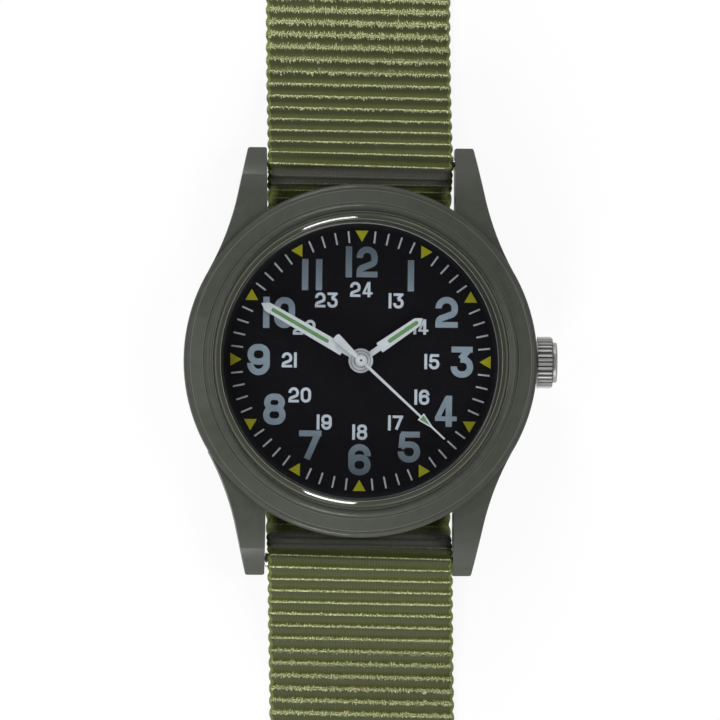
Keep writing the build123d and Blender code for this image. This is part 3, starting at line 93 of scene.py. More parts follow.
class Graph:
    """A shader node tree that is filled one node at a time."""

    def __init__(self, tree: bpy.types.NodeTree) -> None:
        """Start from an empty tree."""
        self.tree = tree
        tree.nodes.clear()

    def add(self, kind: str, inputs: dict | None = None, **options: object) -> bpy.types.Node:
        """Add one node.

        Args:
            kind: The node's type, without the usual prefix.
            inputs: A value or an output socket for each input, by name or number.
            options: The node's own settings.

        Returns:
            The new node.
        """
        full = kind if kind.startswith("Node") else "ShaderNode" + kind
        node = self.tree.nodes.new(full)
        for name, value in options.items():
            setattr(node, name, value)
        for key, value in (inputs or {}).items():
            self.feed(node.inputs[key], value)
        return node

    def feed(self, socket: Socket, value: object) -> None:
        """Give an input what it works on.

        Args:
            socket: The input.
            value: An output to link to it, or its plain value.
        """
        if isinstance(value, Socket):
            self.tree.links.new(value, socket)
        elif isinstance(value, tuple) and len(value) == 3 and socket.type == "RGBA":
            socket.default_value = (*value, 1.0)
        else:
            socket.default_value = value

    def maths(self, operation: str, *values: object) -> Socket:
        """Do one sum.

        Args:
            operation: The sum's name.
            values: What it takes. From the third on, each joins the result so far.

        Returns:
            The result.
        """
        while len(values) > 2:
            values = (self.maths(operation, *values[:2]), *values[2:])
        return self.add("Math", dict(enumerate(values)), operation=operation).outputs[0]

    def times(self, *values: object) -> Socket:
        """The product of values or sockets."""
        return self.maths("MULTIPLY", *values)

    def vectors(self, operation: str, *values: object) -> Socket:
        """The result of one sum on vectors."""
        return self.add("VectorMath", dict(enumerate(values)), operation=operation).outputs[0]

    def mix(self, share: object, first: object, second: object) -> Socket:
        """A colour between two colours."""
        return self.add("Mix", {0: share, 6: first, 7: second}, data_type="RGBA").outputs[2]

    def span(self, value: object, low: object, high: object) -> Socket:
        """A value from 0 to 1 moved to a new range."""
        return self.add("MapRange", {"Value": value, "To Min": low, "To Max": high}).outputs[0]

    def place(self) -> Socket:
        """Where each point of the piece lies in the frame."""
        return self.add("TexCoord").outputs["Object"]

    def noise(self, place: Socket, scale: object, detail: float, roughness: float = 0.5) -> Socket:
        """Grey noise."""
        inputs = {"Vector": place, "Scale": scale, "Detail": detail, "Roughness": roughness}
        return self.add("TexNoise", inputs).outputs[0]

    def bump(self, height: Socket, strength: object, distance: float) -> Socket:
        """A normal that follows a height."""
        inputs = {"Height": height, "Strength": strength, "Distance": distance}
        return self.add("Bump", inputs).outputs[0]

    def steps(self, value: object, *stops: Pair) -> Socket:
        """A grey level read from places along a ramp.

        Args:
            value: What is looked up.
            stops: The place and the grey level of each stop.

        Returns:
            The ramp's output.
        """
        node = self.add("ValToRGB", {0: value})
        ramp = node.color_ramp
        while len(ramp.elements) < len(stops):
            ramp.elements.new(1.0)
        for element, (place, grey) in zip(ramp.elements, stops):
            element.position = place
            element.color = (grey, grey, grey, 1.0)
        return node.outputs[0]

    def show(self, shader: bpy.types.Node) -> None:
        """Put a shader on the surface."""
        self.add("OutputMaterial", {"Surface": shader.outputs[0]})


def shared_group(
    name: str, inputs: dict[str, str], outputs: dict[str, str], wire: Callable[[Graph, dict], dict]
) -> bpy.types.NodeTree:
    """A shader node group for an effect that several materials use.

    Args:
        name: The group's name.
        inputs: The kind of each input socket by its name.
        outputs: The kind of each output socket by its name.
        wire: Fills the group's graph from its inputs and gives each output's value.

    Returns:
        The group, built the first time that it is asked for.
    """
    if name in bpy.data.node_groups:
        return bpy.data.node_groups[name]
    tree = bpy.data.node_groups.new(name, "ShaderNodeTree")
    for sockets, way in ((inputs, "INPUT"), (outputs, "OUTPUT")):
        for label, kind in sockets.items():
            tree.interface.new_socket(label, in_out=way, socket_type="NodeSocket" + kind)
    graph = Graph(tree)
    given = dict(graph.add("NodeGroupInput").outputs.items())
    graph.add("NodeGroupOutput", wire(graph, {label: given[label] for label in inputs}))
    return tree


def grain(graph: Graph, given: dict[str, Socket]) -> dict[str, Socket]:
    """Break up a finish with fine and broad noise.

    Args:
        graph: The group's node graph.
        given: The group's inputs.

    Returns:
        The group's outputs.
    """
    fine_share, broad_share, broad_scale = 0.6, 0.4, 0.08
    drawn = graph.vectors("MULTIPLY", graph.place(), given["Stretch"])
    fine = graph.noise(drawn, scale=given["Scale"], detail=3.0, roughness=0.6)
    broad = graph.noise(drawn, scale=graph.times(given["Scale"], broad_scale), detail=2.0)
    both = graph.maths("ADD", graph.times(fine, fine_share), graph.times(broad, broad_share))
    share = graph.steps(both, (0.36, 0.0), (0.64, 1.0))
    return {
        "Colour": graph.mix(share, given["Colour"], given["Second Colour"]),
        "Roughness": graph.span(share, given["Low Roughness"], given["High Roughness"]),
        "Normal": graph.bump(fine, strength=given["Relief"], distance=0.02 * MM),
    }


def grained_group() -> bpy.types.NodeTree:
    """The shared effect of grain on a finish."""
    floats = dict.fromkeys(("Scale", "Low Roughness", "High Roughness", "Relief"), "Float")
    inputs = {"Colour": "Color", "Second Colour": "Color", "Stretch": "Vector", **floats}
    outputs = {"Colour": "Color", "Roughness": "Float", "Normal": "Vector"}
    return shared_group("grained_finish", inputs, outputs, grain)


def within_ring(graph: Graph, given: dict[str, Socket]) -> dict[str, Socket]:
    """Measure how far inside a ring round an axis each point is.

    Args:
        graph: The group's node graph.
        given: The group's inputs.

    Returns:
        The group's output.
    """
    moved = graph.vectors("SUBTRACT", graph.place(), given["Shift"])
    flat = graph.vectors("MULTIPLY", moved, given["Keep"])
    radius = graph.add("VectorMath", {0: flat}, operation="LENGTH").outputs["Value"]
    off = graph.maths("ABSOLUTE", graph.maths("SUBTRACT", radius, given["Middle"]))
    inside = graph.maths("SUBTRACT", given["Half Width"], off)
    share = graph.maths("ADD", graph.maths("DIVIDE", inside, given["Blur"]), 0.5)
    return {"Mask": graph.add("Clamp", {"Value": share, "Min": 0.0, "Max": 1.0}).outputs[0]}


def ring_group() -> bpy.types.NodeTree:
    """The shared mask of a ring round an axis."""
    floats = dict.fromkeys(("Middle", "Half Width", "Blur"), "Float")
    inputs = {"Keep": "Vector", "Shift": "Vector", **floats}
    return shared_group("ring_mask", inputs, {"Mask": "Float"}, within_ring)


@dataclass(frozen=True)
class Ring:
    """A ring of another colour round an axis, such as painted shade in a groove or a painted highlight
    on an edge.

    Attributes:
        colour: The ring's colour, linear.
        inner: Its inner radius.
        outer: Its outer radius.
        blur: How softly it ends.
        keep: The directions that the radius is measured in.
        shift: A point on the axis.
    """

    colour: Colour
    inner: float
    outer: float
    blur: float = 0.03 * MM
    keep: Triple = (1.0, 1.0, 0.0)
    shift: Triple = (0.0, 0.0, 0.0)

    def mask(self, graph: Graph) -> Socket:
        """Place the shared mask.

        Args:
            graph: The material's node graph.

        Returns:
            The share of the ring at each point.
        """
        inputs = {
            "Keep": self.keep,
            "Shift": self.shift,
            "Middle": (self.inner + self.outer) / 2,
            "Half Width": (self.outer - self.inner) / 2,
            "Blur": self.blur,
        }
        return graph.add("Group", inputs, node_tree=ring_group()).outputs["Mask"]


class Look:
    """What a surface is finished with. Each kind of look gives its name and its nodes."""

    name: str

    def wire(self, graph: Graph) -> None:
        """Fill the material's node graph."""
        raise NotImplementedError

    def material(self) -> bpy.types.Material:
        """Make the look a material.

        Returns:
            The material, built the first time that it is asked for.
        """
        if self.name not in bpy.data.materials:
            made = bpy.data.materials.new(self.name)
            made.use_nodes = True
            self.wire(Graph(made.node_tree))
        return bpy.data.materials[self.name]


@dataclass(frozen=True)
class Finish(Look):
    """A surface whose colour and gloss are broken up by grain.

    Attributes:
        name: The material's name.
        colour: The main colour, linear.
        second: The colour of the grain's other half.
        roughness: The lowest and highest roughness.
        metallic: How metallic it is.
        scale: The grain's scale.
        stretch: How the grain is drawn out, for brushed metal.
        relief: How strong the grain's bump is.
        coat: The weight and the roughness of a clear coat.
        shine: The specular level, from 0 to 1.
        rings: Rings of another colour on it.
    """

    name: str
    colour: Colour
    second: Colour
    roughness: Pair = (0.4, 0.5)
    metallic: float = 0.0
    scale: float = 9000.0
    stretch: Triple = (1.0, 1.0, 1.0)
    relief: float = 0.3
    coat: Pair = (0.0, 0.03)
    shine: float = 0.5
    rings: tuple[Ring, ...] = ()

    def wire(self, graph: Graph) -> None:
        """Lay the rings over the grain.

        Args:
            graph: The material's node graph.
        """
        values = {
            "Colour": self.colour,
            "Second Colour": self.second,
            "Scale": self.scale,
            "Stretch": self.stretch,
            "Low Roughness": self.roughness[0],
            "High Roughness": self.roughness[1],
            "Relief": self.relief,
        }
        grained = graph.add("Group", values, node_tree=grained_group()).outputs
        colour = grained["Colour"]
        for ring in self.rings:
            colour = graph.mix(ring.mask(graph), colour, ring.colour)
        inputs = {
            "Base Color": colour,
            "Roughness": grained["Roughness"],
            "Normal": grained["Normal"],
            "Metallic": self.metallic,
            "Coat Weight": self.coat[0],
            "Coat Roughness": self.coat[1],
            "Specular IOR Level": self.shine,
        }
        graph.show(graph.add("BsdfPrincipled", inputs))


# Pale colour of the painted highlights on the case's edges
PAINTED_EDGE_HIGHLIGHT = (0.13, 0.135, 0.115)
CASE_PAINT = Finish(
    "case_satin_paint", (0.050, 0.054, 0.044), (0.066, 0.070, 0.058), (0.5, 0.6), 0.0, 14000.0,
    relief=0.5, coat=(0.12, 0.08), shine=0.2,
    rings=(
        # painted highlights along the slope's outer edge and along the bezel's foot
        Ring(PAINTED_EDGE_HIGHLIGHT, 16.50 * MM, 16.56 * MM), Ring(PAINTED_EDGE_HIGHLIGHT, 15.30 * MM, 15.35 * MM),
        # painted light over the shaded gap round the crystal's seat
        Ring((0.26, 0.27, 0.23), 14.28 * MM, 14.42 * MM),
    ),
)
STEEL = Finish(
    "brushed_steel", (0.42, 0.42, 0.41), (0.56, 0.56, 0.54), (0.3, 0.42), 1.0, 5000.0, (14.0, 1.0, 1.0)
)
CROWN_STEEL = Finish(
    "crown_steel", (0.27, 0.27, 0.265), (0.36, 0.36, 0.35), (0.38, 0.48), 0.6, 7000.0, (0.4, 3.0, 3.0)
)
BACK_STEEL = Finish(
    "case_back_steel", (0.4, 0.4, 0.39), (0.5, 0.5, 0.49), (0.25, 0.4), 1.0, 3000.0, (1.0, 16.0, 1.0)
)
DARK_STEEL = Finish(
    "arbor_dark_steel", (0.05, 0.05, 0.055), (0.08, 0.08, 0.085), (0.4, 0.5), 0.8, 6000.0
)
BRASS = Finish("wheel_brass", (0.58, 0.41, 0.13), (0.68, 0.5, 0.19), (0.25, 0.38), 1.0, 8000.0)
PLATE_BRASS = Finish("plate_brass", (0.52, 0.4, 0.2), (0.6, 0.48, 0.27), (0.32, 0.45), 1.0, 6000.0)
RUBBER = Finish("seal_rubber", (0.018, 0.018, 0.018), (0.03, 0.03, 0.03), (0.7, 0.85), 0.0, 6000.0)
SEAL_OLIVE = Finish(
    "seal_olive", (0.05, 0.053, 0.04), (0.065, 0.068, 0.052), (0.6, 0.75), 0.0, 6000.0
)
FLANGE_BLACK = Finish(
    "flange_satin_black", (0.022, 0.023, 0.024), (0.032, 0.033, 0.034), (0.45, 0.55),
    # painted highlight: a thin pale line on the flange's slope, set off its centre
    rings=(Ring((0.3, 0.3, 0.27), 13.34 * MM, 13.40 * MM, shift=(-0.1 * MM, -0.1 * MM, 0.0)),),
)
DIAL_BLACK = Finish(
    "dial_matt_black", (0.0022, 0.0020, 0.0035), (0.0038, 0.0036, 0.0054), (0.7, 0.8), shine=0.05,
    # painted light: the dial grows paler towards its rim
    rings=(Ring((0.022, 0.022, 0.026), 13.2 * MM, 15.0 * MM, 1.0 * MM),),
)
HUB_SHADE = (0.12, 0.12, 0.125)
HAND_PAINT = Finish(
    "hand_pale_paint", (0.50, 0.53, 0.57), (0.60, 0.63, 0.67), (0.45, 0.6), 0.0, 12000.0, relief=0.4
)
HUB_PAINT = replace(
    HAND_PAINT,
    name="hub_pale_paint",
    rings=(Ring(HUB_SHADE, 0.62 * MM, 0.68 * MM), Ring(HUB_SHADE, 0.91 * MM, 0.96 * MM)),
)
LUME = Finish(
    "lume_green", (0.075, 0.20, 0.065), (0.12, 0.27, 0.10), (0.7, 0.85), 0.0, 16000.0, relief=0.8
)
MAGNET = Finish("magnet_grey", (0.07, 0.07, 0.075), (0.1, 0.1, 0.105), (0.5, 0.65), 0.6)
RING_PLASTIC = Finish("movement_ring_plastic", (0.5, 0.49, 0.44), (0.56, 0.55, 0.5), (0.5, 0.62))
CORE_IRON = Finish("core_iron", (0.3, 0.3, 0.3), (0.38, 0.38, 0.38), (0.35, 0.5), 1.0, 6000.0)
BOARD = Finish(
    "circuit_board_green", (0.01, 0.075, 0.025), (0.018, 0.1, 0.035), (0.3, 0.42), coat=(0.3, 0.05)
)
CHIP = Finish("chip_case_black", (0.012, 0.012, 0.013), (0.02, 0.02, 0.021), (0.6, 0.7))
MARK_YELLOW = Finish(
    "print_yellow", (0.28, 0.272, 0.004), (0.35, 0.342, 0.007), (0.6, 0.7), 0.0, 14000.0,
    relief=0.6, shine=0.2,
)
MARK_PALE = Finish(
    "print_pale", (0.36, 0.38, 0.42), (0.44, 0.46, 0.5), (0.6, 0.7), 0.0, 14000.0, shine=0.2
)
HOUR_PRINT = Finish(
    "print_hours", (0.185, 0.235, 0.29), (0.25, 0.31, 0.37), (0.6, 0.7), 0.0, 16000.0, shine=0.2,
    # painted shade: the hour numbers grow darker towards 12 and 6 o'clock
    rings=(Ring((0.065, 0.083, 0.104), 8.8 * MM, 40 * MM, 5.8 * MM, (0.0, 1.0, 0.0)),),
)
SMALL_PRINT = Finish(
    "print_small", (0.43, 0.48, 0.56), (0.54, 0.59, 0.66), (0.6, 0.7), 0.0, 16000.0, shine=0.2
)
THREAD = Finish("thread_olive", (0.05, 0.06, 0.018), (0.09, 0.10, 0.035), (0.6, 0.75))


@dataclass(frozen=True)
class Glass(Look):
    """The crystal's clear acrylic, which lets lamps through to the dial.

    Attributes:
        name: The material's name.
        colour: Its tint.
        shadow: The colour of the light that it lets through.
        bending: Its index of refraction.
        haze: Its highest roughness.
        seat_width: The width of the opaque band at its edge, painted in place of the view of its seat's
            paint.
        seat_blur: How softly that band ends.
        seat_colour: That band's colour.
        seat_roughness: That band's roughness.
        line: How far inside the band a thin painted highlight starts and ends.
        line_colour: That line's colour.
    """

    name: str = "acrylic_crystal"
    colour: Colour = (0.97, 0.98, 0.975)
    shadow: Colour = (0.95, 0.96, 0.955)
    bending: float = 1.49
    haze: float = 0.035
    seat_width: float = 0.6 * MM
    seat_blur: float = 0.12 * MM
    seat_colour: Colour = (0.052, 0.056, 0.042)
    seat_roughness: float = 0.06
    line: Pair = (0.07 * MM, 0.035 * MM)
    line_colour: Colour = (0.42, 0.43, 0.36)

    def wire(self, graph: Graph) -> None:
        """Clear glass whose shadow is light, with an opaque band painted at its edge in place of the
        view of its seat's paint, and a thin painted highlight inside that band.

        Args:
            graph: The material's node graph.
        """
        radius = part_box("crystal")[1].x
        inner = radius - self.seat_width
        start, end = self.line
        # an opaque band painted at the rim in place of the view of the seat's paint
        edge = Ring(self.seat_colour, inner, radius + MM, self.seat_blur).mask(graph)
        # a thin painted highlight line just inside the band
        line = Ring(self.line_colour, inner - start, inner - end).mask(graph)
        cloud = graph.noise(graph.place(), scale=900.0, detail=3.0)
        inputs = {
            "Base Color": self.colour,
            "Roughness": graph.span(cloud, 0.0, self.haze),
            "IOR": self.bending,
            "Transmission Weight": 1.0,
        }
        body = graph.add("BsdfPrincipled", inputs)
        clear = graph.add("BsdfTransparent", {"Color": self.shadow})
        path = graph.add("LightPath").outputs
        passing = graph.maths("MAXIMUM", path["Is Shadow Ray"], path["Is Diffuse Ray"])
        glass = graph.add("MixShader", {0: passing, 1: body.outputs[0], 2: clear.outputs[0]})
        paint = graph.mix(line, self.seat_colour, self.line_colour)
        seat = graph.add("BsdfPrincipled", {"Base Color": paint, "Roughness": self.seat_roughness})
        shares = {0: graph.maths("MAXIMUM", edge, line), 1: glass.outputs[0], 2: seat.outputs[0]}
        graph.show(graph.add("MixShader", shares))


@dataclass(frozen=True)
class Winding(Look):
    """Lacquered copper wire wound round the coil's core."""

    name: str = "copper_winding"
    wire_width: float = 0.06 * MM
    ridge: float = 0.02 * MM
    dark: Colour = (0.2, 0.06, 0.02)
    bright: Colour = (0.72, 0.3, 0.12)

    def wire(self, graph: Graph) -> None:
        """Copper with one bump ridge for each turn of wire.

        Args:
            graph: The material's node graph.
        """
        turns = {"Vector": graph.place(), "Scale": WAVE_LENGTH / self.wire_width}
        height = graph.add("TexWave", turns, bands_direction="X").outputs[1]
        shade = graph.steps(height, (0.0, 0.35), (0.5, 1.0))
        inputs = {
            "Base Color": graph.mix(shade, self.dark, self.bright),
            "Metallic": 1.0,
            "Roughness": 0.35,
            "Normal": graph.bump(height, strength=0.7, distance=self.ridge),
        }
        graph.show(graph.add("BsdfPrincipled", inputs))


class Weave:
    """The masks of a webbing's pattern and of its painted light and shade, read from the band's own map
    in millimetres.

    A point's level is its distance from the dial's middle, 1 at the far end, and its phase is
    how far along its rib it is.

    Attributes:
        dial_middle: Where the dial's middle is along the strap.
        far_end: How far from there the level is 1.
        height: What heights are measured against.
        crest_sum: What a place in ribs is taken from to mirror its phase.
        rag: How much of the yarns' overhang the light line itself follows.
        teeth_per_yarn: How many tufts there are in the width of a pair of yarns.
        row_step: How far apart in the noise two ribs are.
        drip: The shortest and the longest overhang.
        drip_gain: How many times longer it is above the dial, as painted sheen.
    """

    dial_middle = 0.28 * MM
    far_end = 40 * MM
    height = 10 * MM
    crest_sum = 1.8
    rag = 0.3
    teeth_per_yarn = 5
    row_step = 5.3
    drip = (0.08, 0.42)
    drip_gain = 1.5

    def __init__(self, graph: Graph, rib: float, yarn: float, width: float) -> None:
        """Read where each point is.

        Args:
            graph: The material's node graph.
            rib: The length of one rib along the band.
            yarn: The width of one pair of yarns across it.
            width: The width of the band.
        """
        self.graph = graph
        self.yarn = yarn
        flat = graph.add("UVMap", uv_map="band").outputs[0]
        self.across, along = graph.add("SeparateXYZ", {0: flat}).outputs[:2]
        _, y, self.z = graph.add("SeparateXYZ", {0: graph.place()}).outputs
        far = graph.maths("ABSOLUTE", graph.maths("SUBTRACT", y, self.dial_middle))
        self.level = graph.times(far, 1 / self.far_end)
        self.above = graph.maths("GREATER_THAN", y, 0.0)
        self.inward = graph.maths("DIVIDE", graph.maths("ABSOLUTE", self.across), width / 2)
        self.speckle = graph.noise(flat, scale=8.0, detail=4.0)
        self.patches = graph.noise(flat, scale=1.4, detail=2.0)
        self.ribs = graph.maths("DIVIDE", along, rib)
        self.phase = graph.maths("FRACT", self.ribs)
        lit = ((0.0, 1.0), (0.25, 0.9), (0.45, 0.25), (0.75, 0.1), (0.9, 0.5), (1.0, 1.0))
        self.lit = graph.steps(self.phase, *lit)
        strands = graph.maths("SINE", graph.times(self.across, 2 * math.pi / yarn * 2))
        self.strand = graph.span(strands, 0.35, 1.0)

    def lean(self) -> Socket:
        """Find how far the light yarns hang over, unevenly from yarn to yarn, and, as painted sheen,
        further with a row's distance from the dial.

        Returns:
            That length as a share of a rib.
        """
        graph = self.graph
        row = graph.times(graph.maths("FLOOR", self.ribs), self.row_step)
        slant = graph.maths("DIVIDE", self.across, self.yarn / self.teeth_per_yarn)
        slant = graph.maths("ADD", slant, self.phase)
        spots = graph.add("CombineXYZ", {0: slant, 1: row}).outputs[0]
        teeth = graph.noise(spots, scale=1.0, detail=1.5)
        teeth = graph.steps(teeth, (0.34, 0.0), (0.66, 1.0))
        swing = ((0.0, 0.15), (0.5, 0.2), (0.57, 0.5), (0.7, 0.8), (1.0, 1.0))
        drip = graph.times(graph.span(self.patches, *self.drip), graph.steps(self.level, *swing))
        return graph.times(teeth, graph.times(drip, graph.span(self.above, 1.0, self.drip_gain)))

    def floats(self, phase: Socket, lean: Socket) -> Socket:
        """The yarns that hang over one side of each rib's light line."""
        reached = self.graph.steps(self.graph.maths("ADD", phase, lean), (0.84, 0.0), (0.90, 0.8))
        return self.graph.times(reached, self.graph.steps(phase, (0.86, 1.0), (0.92, 0.0)))

    def tops(self) -> Socket:
        """Draw the light line of each rib and the yarns that hang over it, partly their own pale colour
        and partly painted highlight and sheen.

        Returns:
            The share of light yarn at each point.
        """
        graph = self.graph
        lean = self.lean()
        # painted highlight: the light line sits on the other side of the rib above and below the dial
        mirrored = graph.maths("FRACT", graph.maths("SUBTRACT", self.crest_sum, self.ribs))
        inner = graph.span(self.above, mirrored, self.phase)
        outer = graph.span(self.above, self.phase, mirrored)
        crossed = graph.steps(self.level, (0.0, 0.0), (0.66, 0.0), (0.8, 1.0))
        ragged = graph.maths("ADD", inner, graph.times(lean, self.rag))
        straight = graph.steps(ragged, (0.84, 0.0), (0.88, 1.0), (0.94, 1.0), (0.98, 0.0))
        straight = graph.times(straight, graph.span(crossed, 1.0, 0.7))
        crossing = graph.times(self.floats(outer, lean), crossed)
        tops = graph.maths("MAXIMUM", straight, self.floats(inner, lean), crossing)
        return graph.times(tops, graph.steps(self.speckle, (0.42, 0.1), (0.5, 0.4), (0.56, 1.0)))

    def body(self) -> Socket:
        """The share of olive on the ribs, which follows the painted light and shade across each rib as
        well as the yarns.
        """
        patchy = self.graph.span(self.patches, 0.4, 1.4)
        return self.graph.times(self.lit, patchy, self.graph.span(self.strand, 0.75, 1.0))

    def corners(self) -> Socket:
        """Find the corners between the lugs and the case, which get painted light.

        Returns:
            The share of that light at each point.
        """
        graph = self.graph
        near = graph.steps(self.level, (0.0, 0.9), (0.405, 0.9), (0.43, 0.0))
        upper = graph.steps(graph.times(self.z, 1 / self.height), (0.06, 0.0), (0.08, 1.0))
        beside = graph.steps(self.inward, (0.0, 0.06), (0.88, 0.12), (0.97, 1.0))
        return graph.times(near, upper, beside)

    def covered(self) -> Socket:
        """The share of painted grey sheen where the strap dives in behind the case, in shade."""
        stops = ((0.0, 0.0), (0.41, 0.0), (0.43, 0.85), (0.456, 0.85), (0.463, 0.0))
        return self.graph.steps(self.level, *stops)

    def rim(self) -> Socket:
        """The share of the woven edge."""
        rim = self.graph.steps(self.inward, (0.0, 0.0), (0.962, 0.0), (0.975, 1.0))
        return self.graph.times(rim, self.graph.span(self.lit, 0.45, 1.0))


@dataclass(frozen=True)
class Webbing(Look):
    """Ribbed olive nylon, drawn on the band's own map in millimetres.

    Attributes:
        name: The material's name.
        dark: The colour in the broad part of each rib, partly its painted shade.
        olive: The colour of the yarns on the rib.
        bright: The colour of the yarn tops, partly their own and partly painted highlight.
        glow: The painted light in the corners between the lugs and the case.
        edge: The colour of the woven edge.
        shade: The painted grey sheen where the strap dives in behind the case, in shade.
        rib: The length of one rib along the band.
        yarn: The width of one pair of yarns across it.
        width: The width of the band.
        relief: How deep the gaps between yarns look.
    """

    name: str = "olive_webbing"
    dark: Colour = (0.042, 0.049, 0.018)
    olive: Colour = (0.078, 0.090, 0.010)
    bright: Colour = (0.82, 0.86, 0.44)
    glow: Colour = (0.80, 0.90, 0.30)
    edge: Colour = (0.19, 0.225, 0.045)
    shade: Colour = (0.14, 0.138, 0.128)
    rib: float = 1.2
    yarn: float = 0.58
    width: float = 18.0
    relief: float = 0.08 * MM

    def wire(self, graph: Graph) -> None:
        """Lay the yarns with their painted highlights, the corners' painted light, the painted sheen
        where the strap dives in, and the woven edges over each other.

        Args:
            graph: The material's node graph.
        """
        weave = Weave(graph, self.rib, self.yarn, self.width)
        colour = graph.mix(weave.body(), self.dark, self.olive)
        colour = graph.mix(weave.tops(), colour, self.bright)
        colour = graph.mix(weave.corners(), colour, self.glow)
        colour = graph.mix(weave.covered(), colour, self.shade)
        colour = graph.mix(weave.rim(), colour, self.edge)
        height = graph.maths("ADD", graph.times(weave.strand, 0.5), graph.times(weave.speckle, 0.8))
        inputs = {
            "Base Color": colour,
            "Roughness": graph.span(weave.speckle, 0.42, 0.7),
            "Normal": graph.bump(height, strength=0.8, distance=self.relief),
            "Specular IOR Level": 0.3,
            "Sheen Weight": 0.05,
            "Sheen Roughness": 0.4,
        }
        graph.show(graph.add("BsdfPrincipled", inputs))


# Shapes that several pieces use


class Route:
    """A flat line through corners, each rounded by an arc, walked by its distance."""

    def __init__(self, corners: Sequence[Point], radii: Sequence[float] = ()) -> None:
        """Lay out the straights and arcs in turn.

        Args:
            corners: The line's ends and the corners between them.
            radii: The radius at each corner between the ends.
        """
        self.stretches: list[tuple[float, Vector, Vector, float]] = []
        start = Vector(corners[0])
        for corner, after, radius in zip(corners[1:], corners[2:], radii):
            here = Vector(corner)
            heading = (here - start).normalized()
            onward = (Vector(after) - here).normalized()
            turn = math.atan2(heading.x * onward.y - heading.y * onward.x, heading.dot(onward))
            trim = radius * math.tan(abs(turn) / 2)
            straight = max((here - start).length - trim, 0.0)
            self.stretches.append((straight, start, heading, 0.0))
            bend = math.copysign(1 / radius, turn)
            self.stretches.append((radius * abs(turn), here - heading * trim, heading, bend))
            start = here + onward * trim
        last = Vector(corners[-1])
        self.stretches.append(((last - start).length, start, (last - start).normalized(), 0.0))

    @property
    def length(self) -> float:
        """The distance from one end to the other."""
        return sum(stretch[0] for stretch in self.stretches)

    def at(self, distance: float) -> tuple[Vector, Vector]:
        """Walk along the line.

        Args:
            distance: How far to walk.

        Returns:
            The point there and the direction to its left.
        """
        for span, start, heading, bend in self.stretches:
            if distance <= span:
                break
            distance -= span
        else:
            distance += span
        left = Vector((-heading.y, heading.x))
        if not bend:
            return start + heading * distance, left
        turn = bend * distance
        point = start + heading * (math.sin(turn) / bend) + left * ((1 - math.cos(turn)) / bend)
        return point, Matrix.Rotation(turn, 2) @ left


def settle(bm: bmesh.types.BMesh, name: str, sharp: float = 35.0) -> bpy.types.Object:
    """Turn a finished bmesh into an object at the origin.

    Args:
        bm: The mesh, which is freed.
        name: The object's name.
        sharp: Edges that turn by more than this many degrees stay sharp.

    Returns:
        The object.
    """
    bmesh.ops.recalc_face_normals(bm, faces=bm.faces)
    mesh = bpy.data.meshes.new(name)
    bm.to_mesh(mesh)
    bm.free()
    mesh.shade_smooth()
    mesh.set_sharp_from_angle(angle=math.radians(sharp))
    made = bpy.data.objects.new(name, mesh)
    bpy.context.scene.collection.objects.link(made)
    return made


def place_piece(piece: bpy.types.Object, look: Look, slot: Slot, body: str) -> bpy.types.Object:
    """Give a piece its look and the body that it rides on.

    Args:
        piece: The piece.
        look: What it is finished with.
        slot: The record's slot of that finish. It is not used.
        body: The body's name.

    Returns:
        The piece.
    """
    piece.data.materials.clear()
    piece.data.materials.append(look.material())
    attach(piece, body)
    log.info("built %s, %d faces", piece.name, len(piece.data.polygons))
    return piece


def box_span(box: tuple[Vector, Vector], axis: int) -> Pair:
    """The middle of a box along one axis, and half its length there."""
    low, high = box
    return (low[axis] + high[axis]) / 2, (high[axis] - low[axis]) / 2


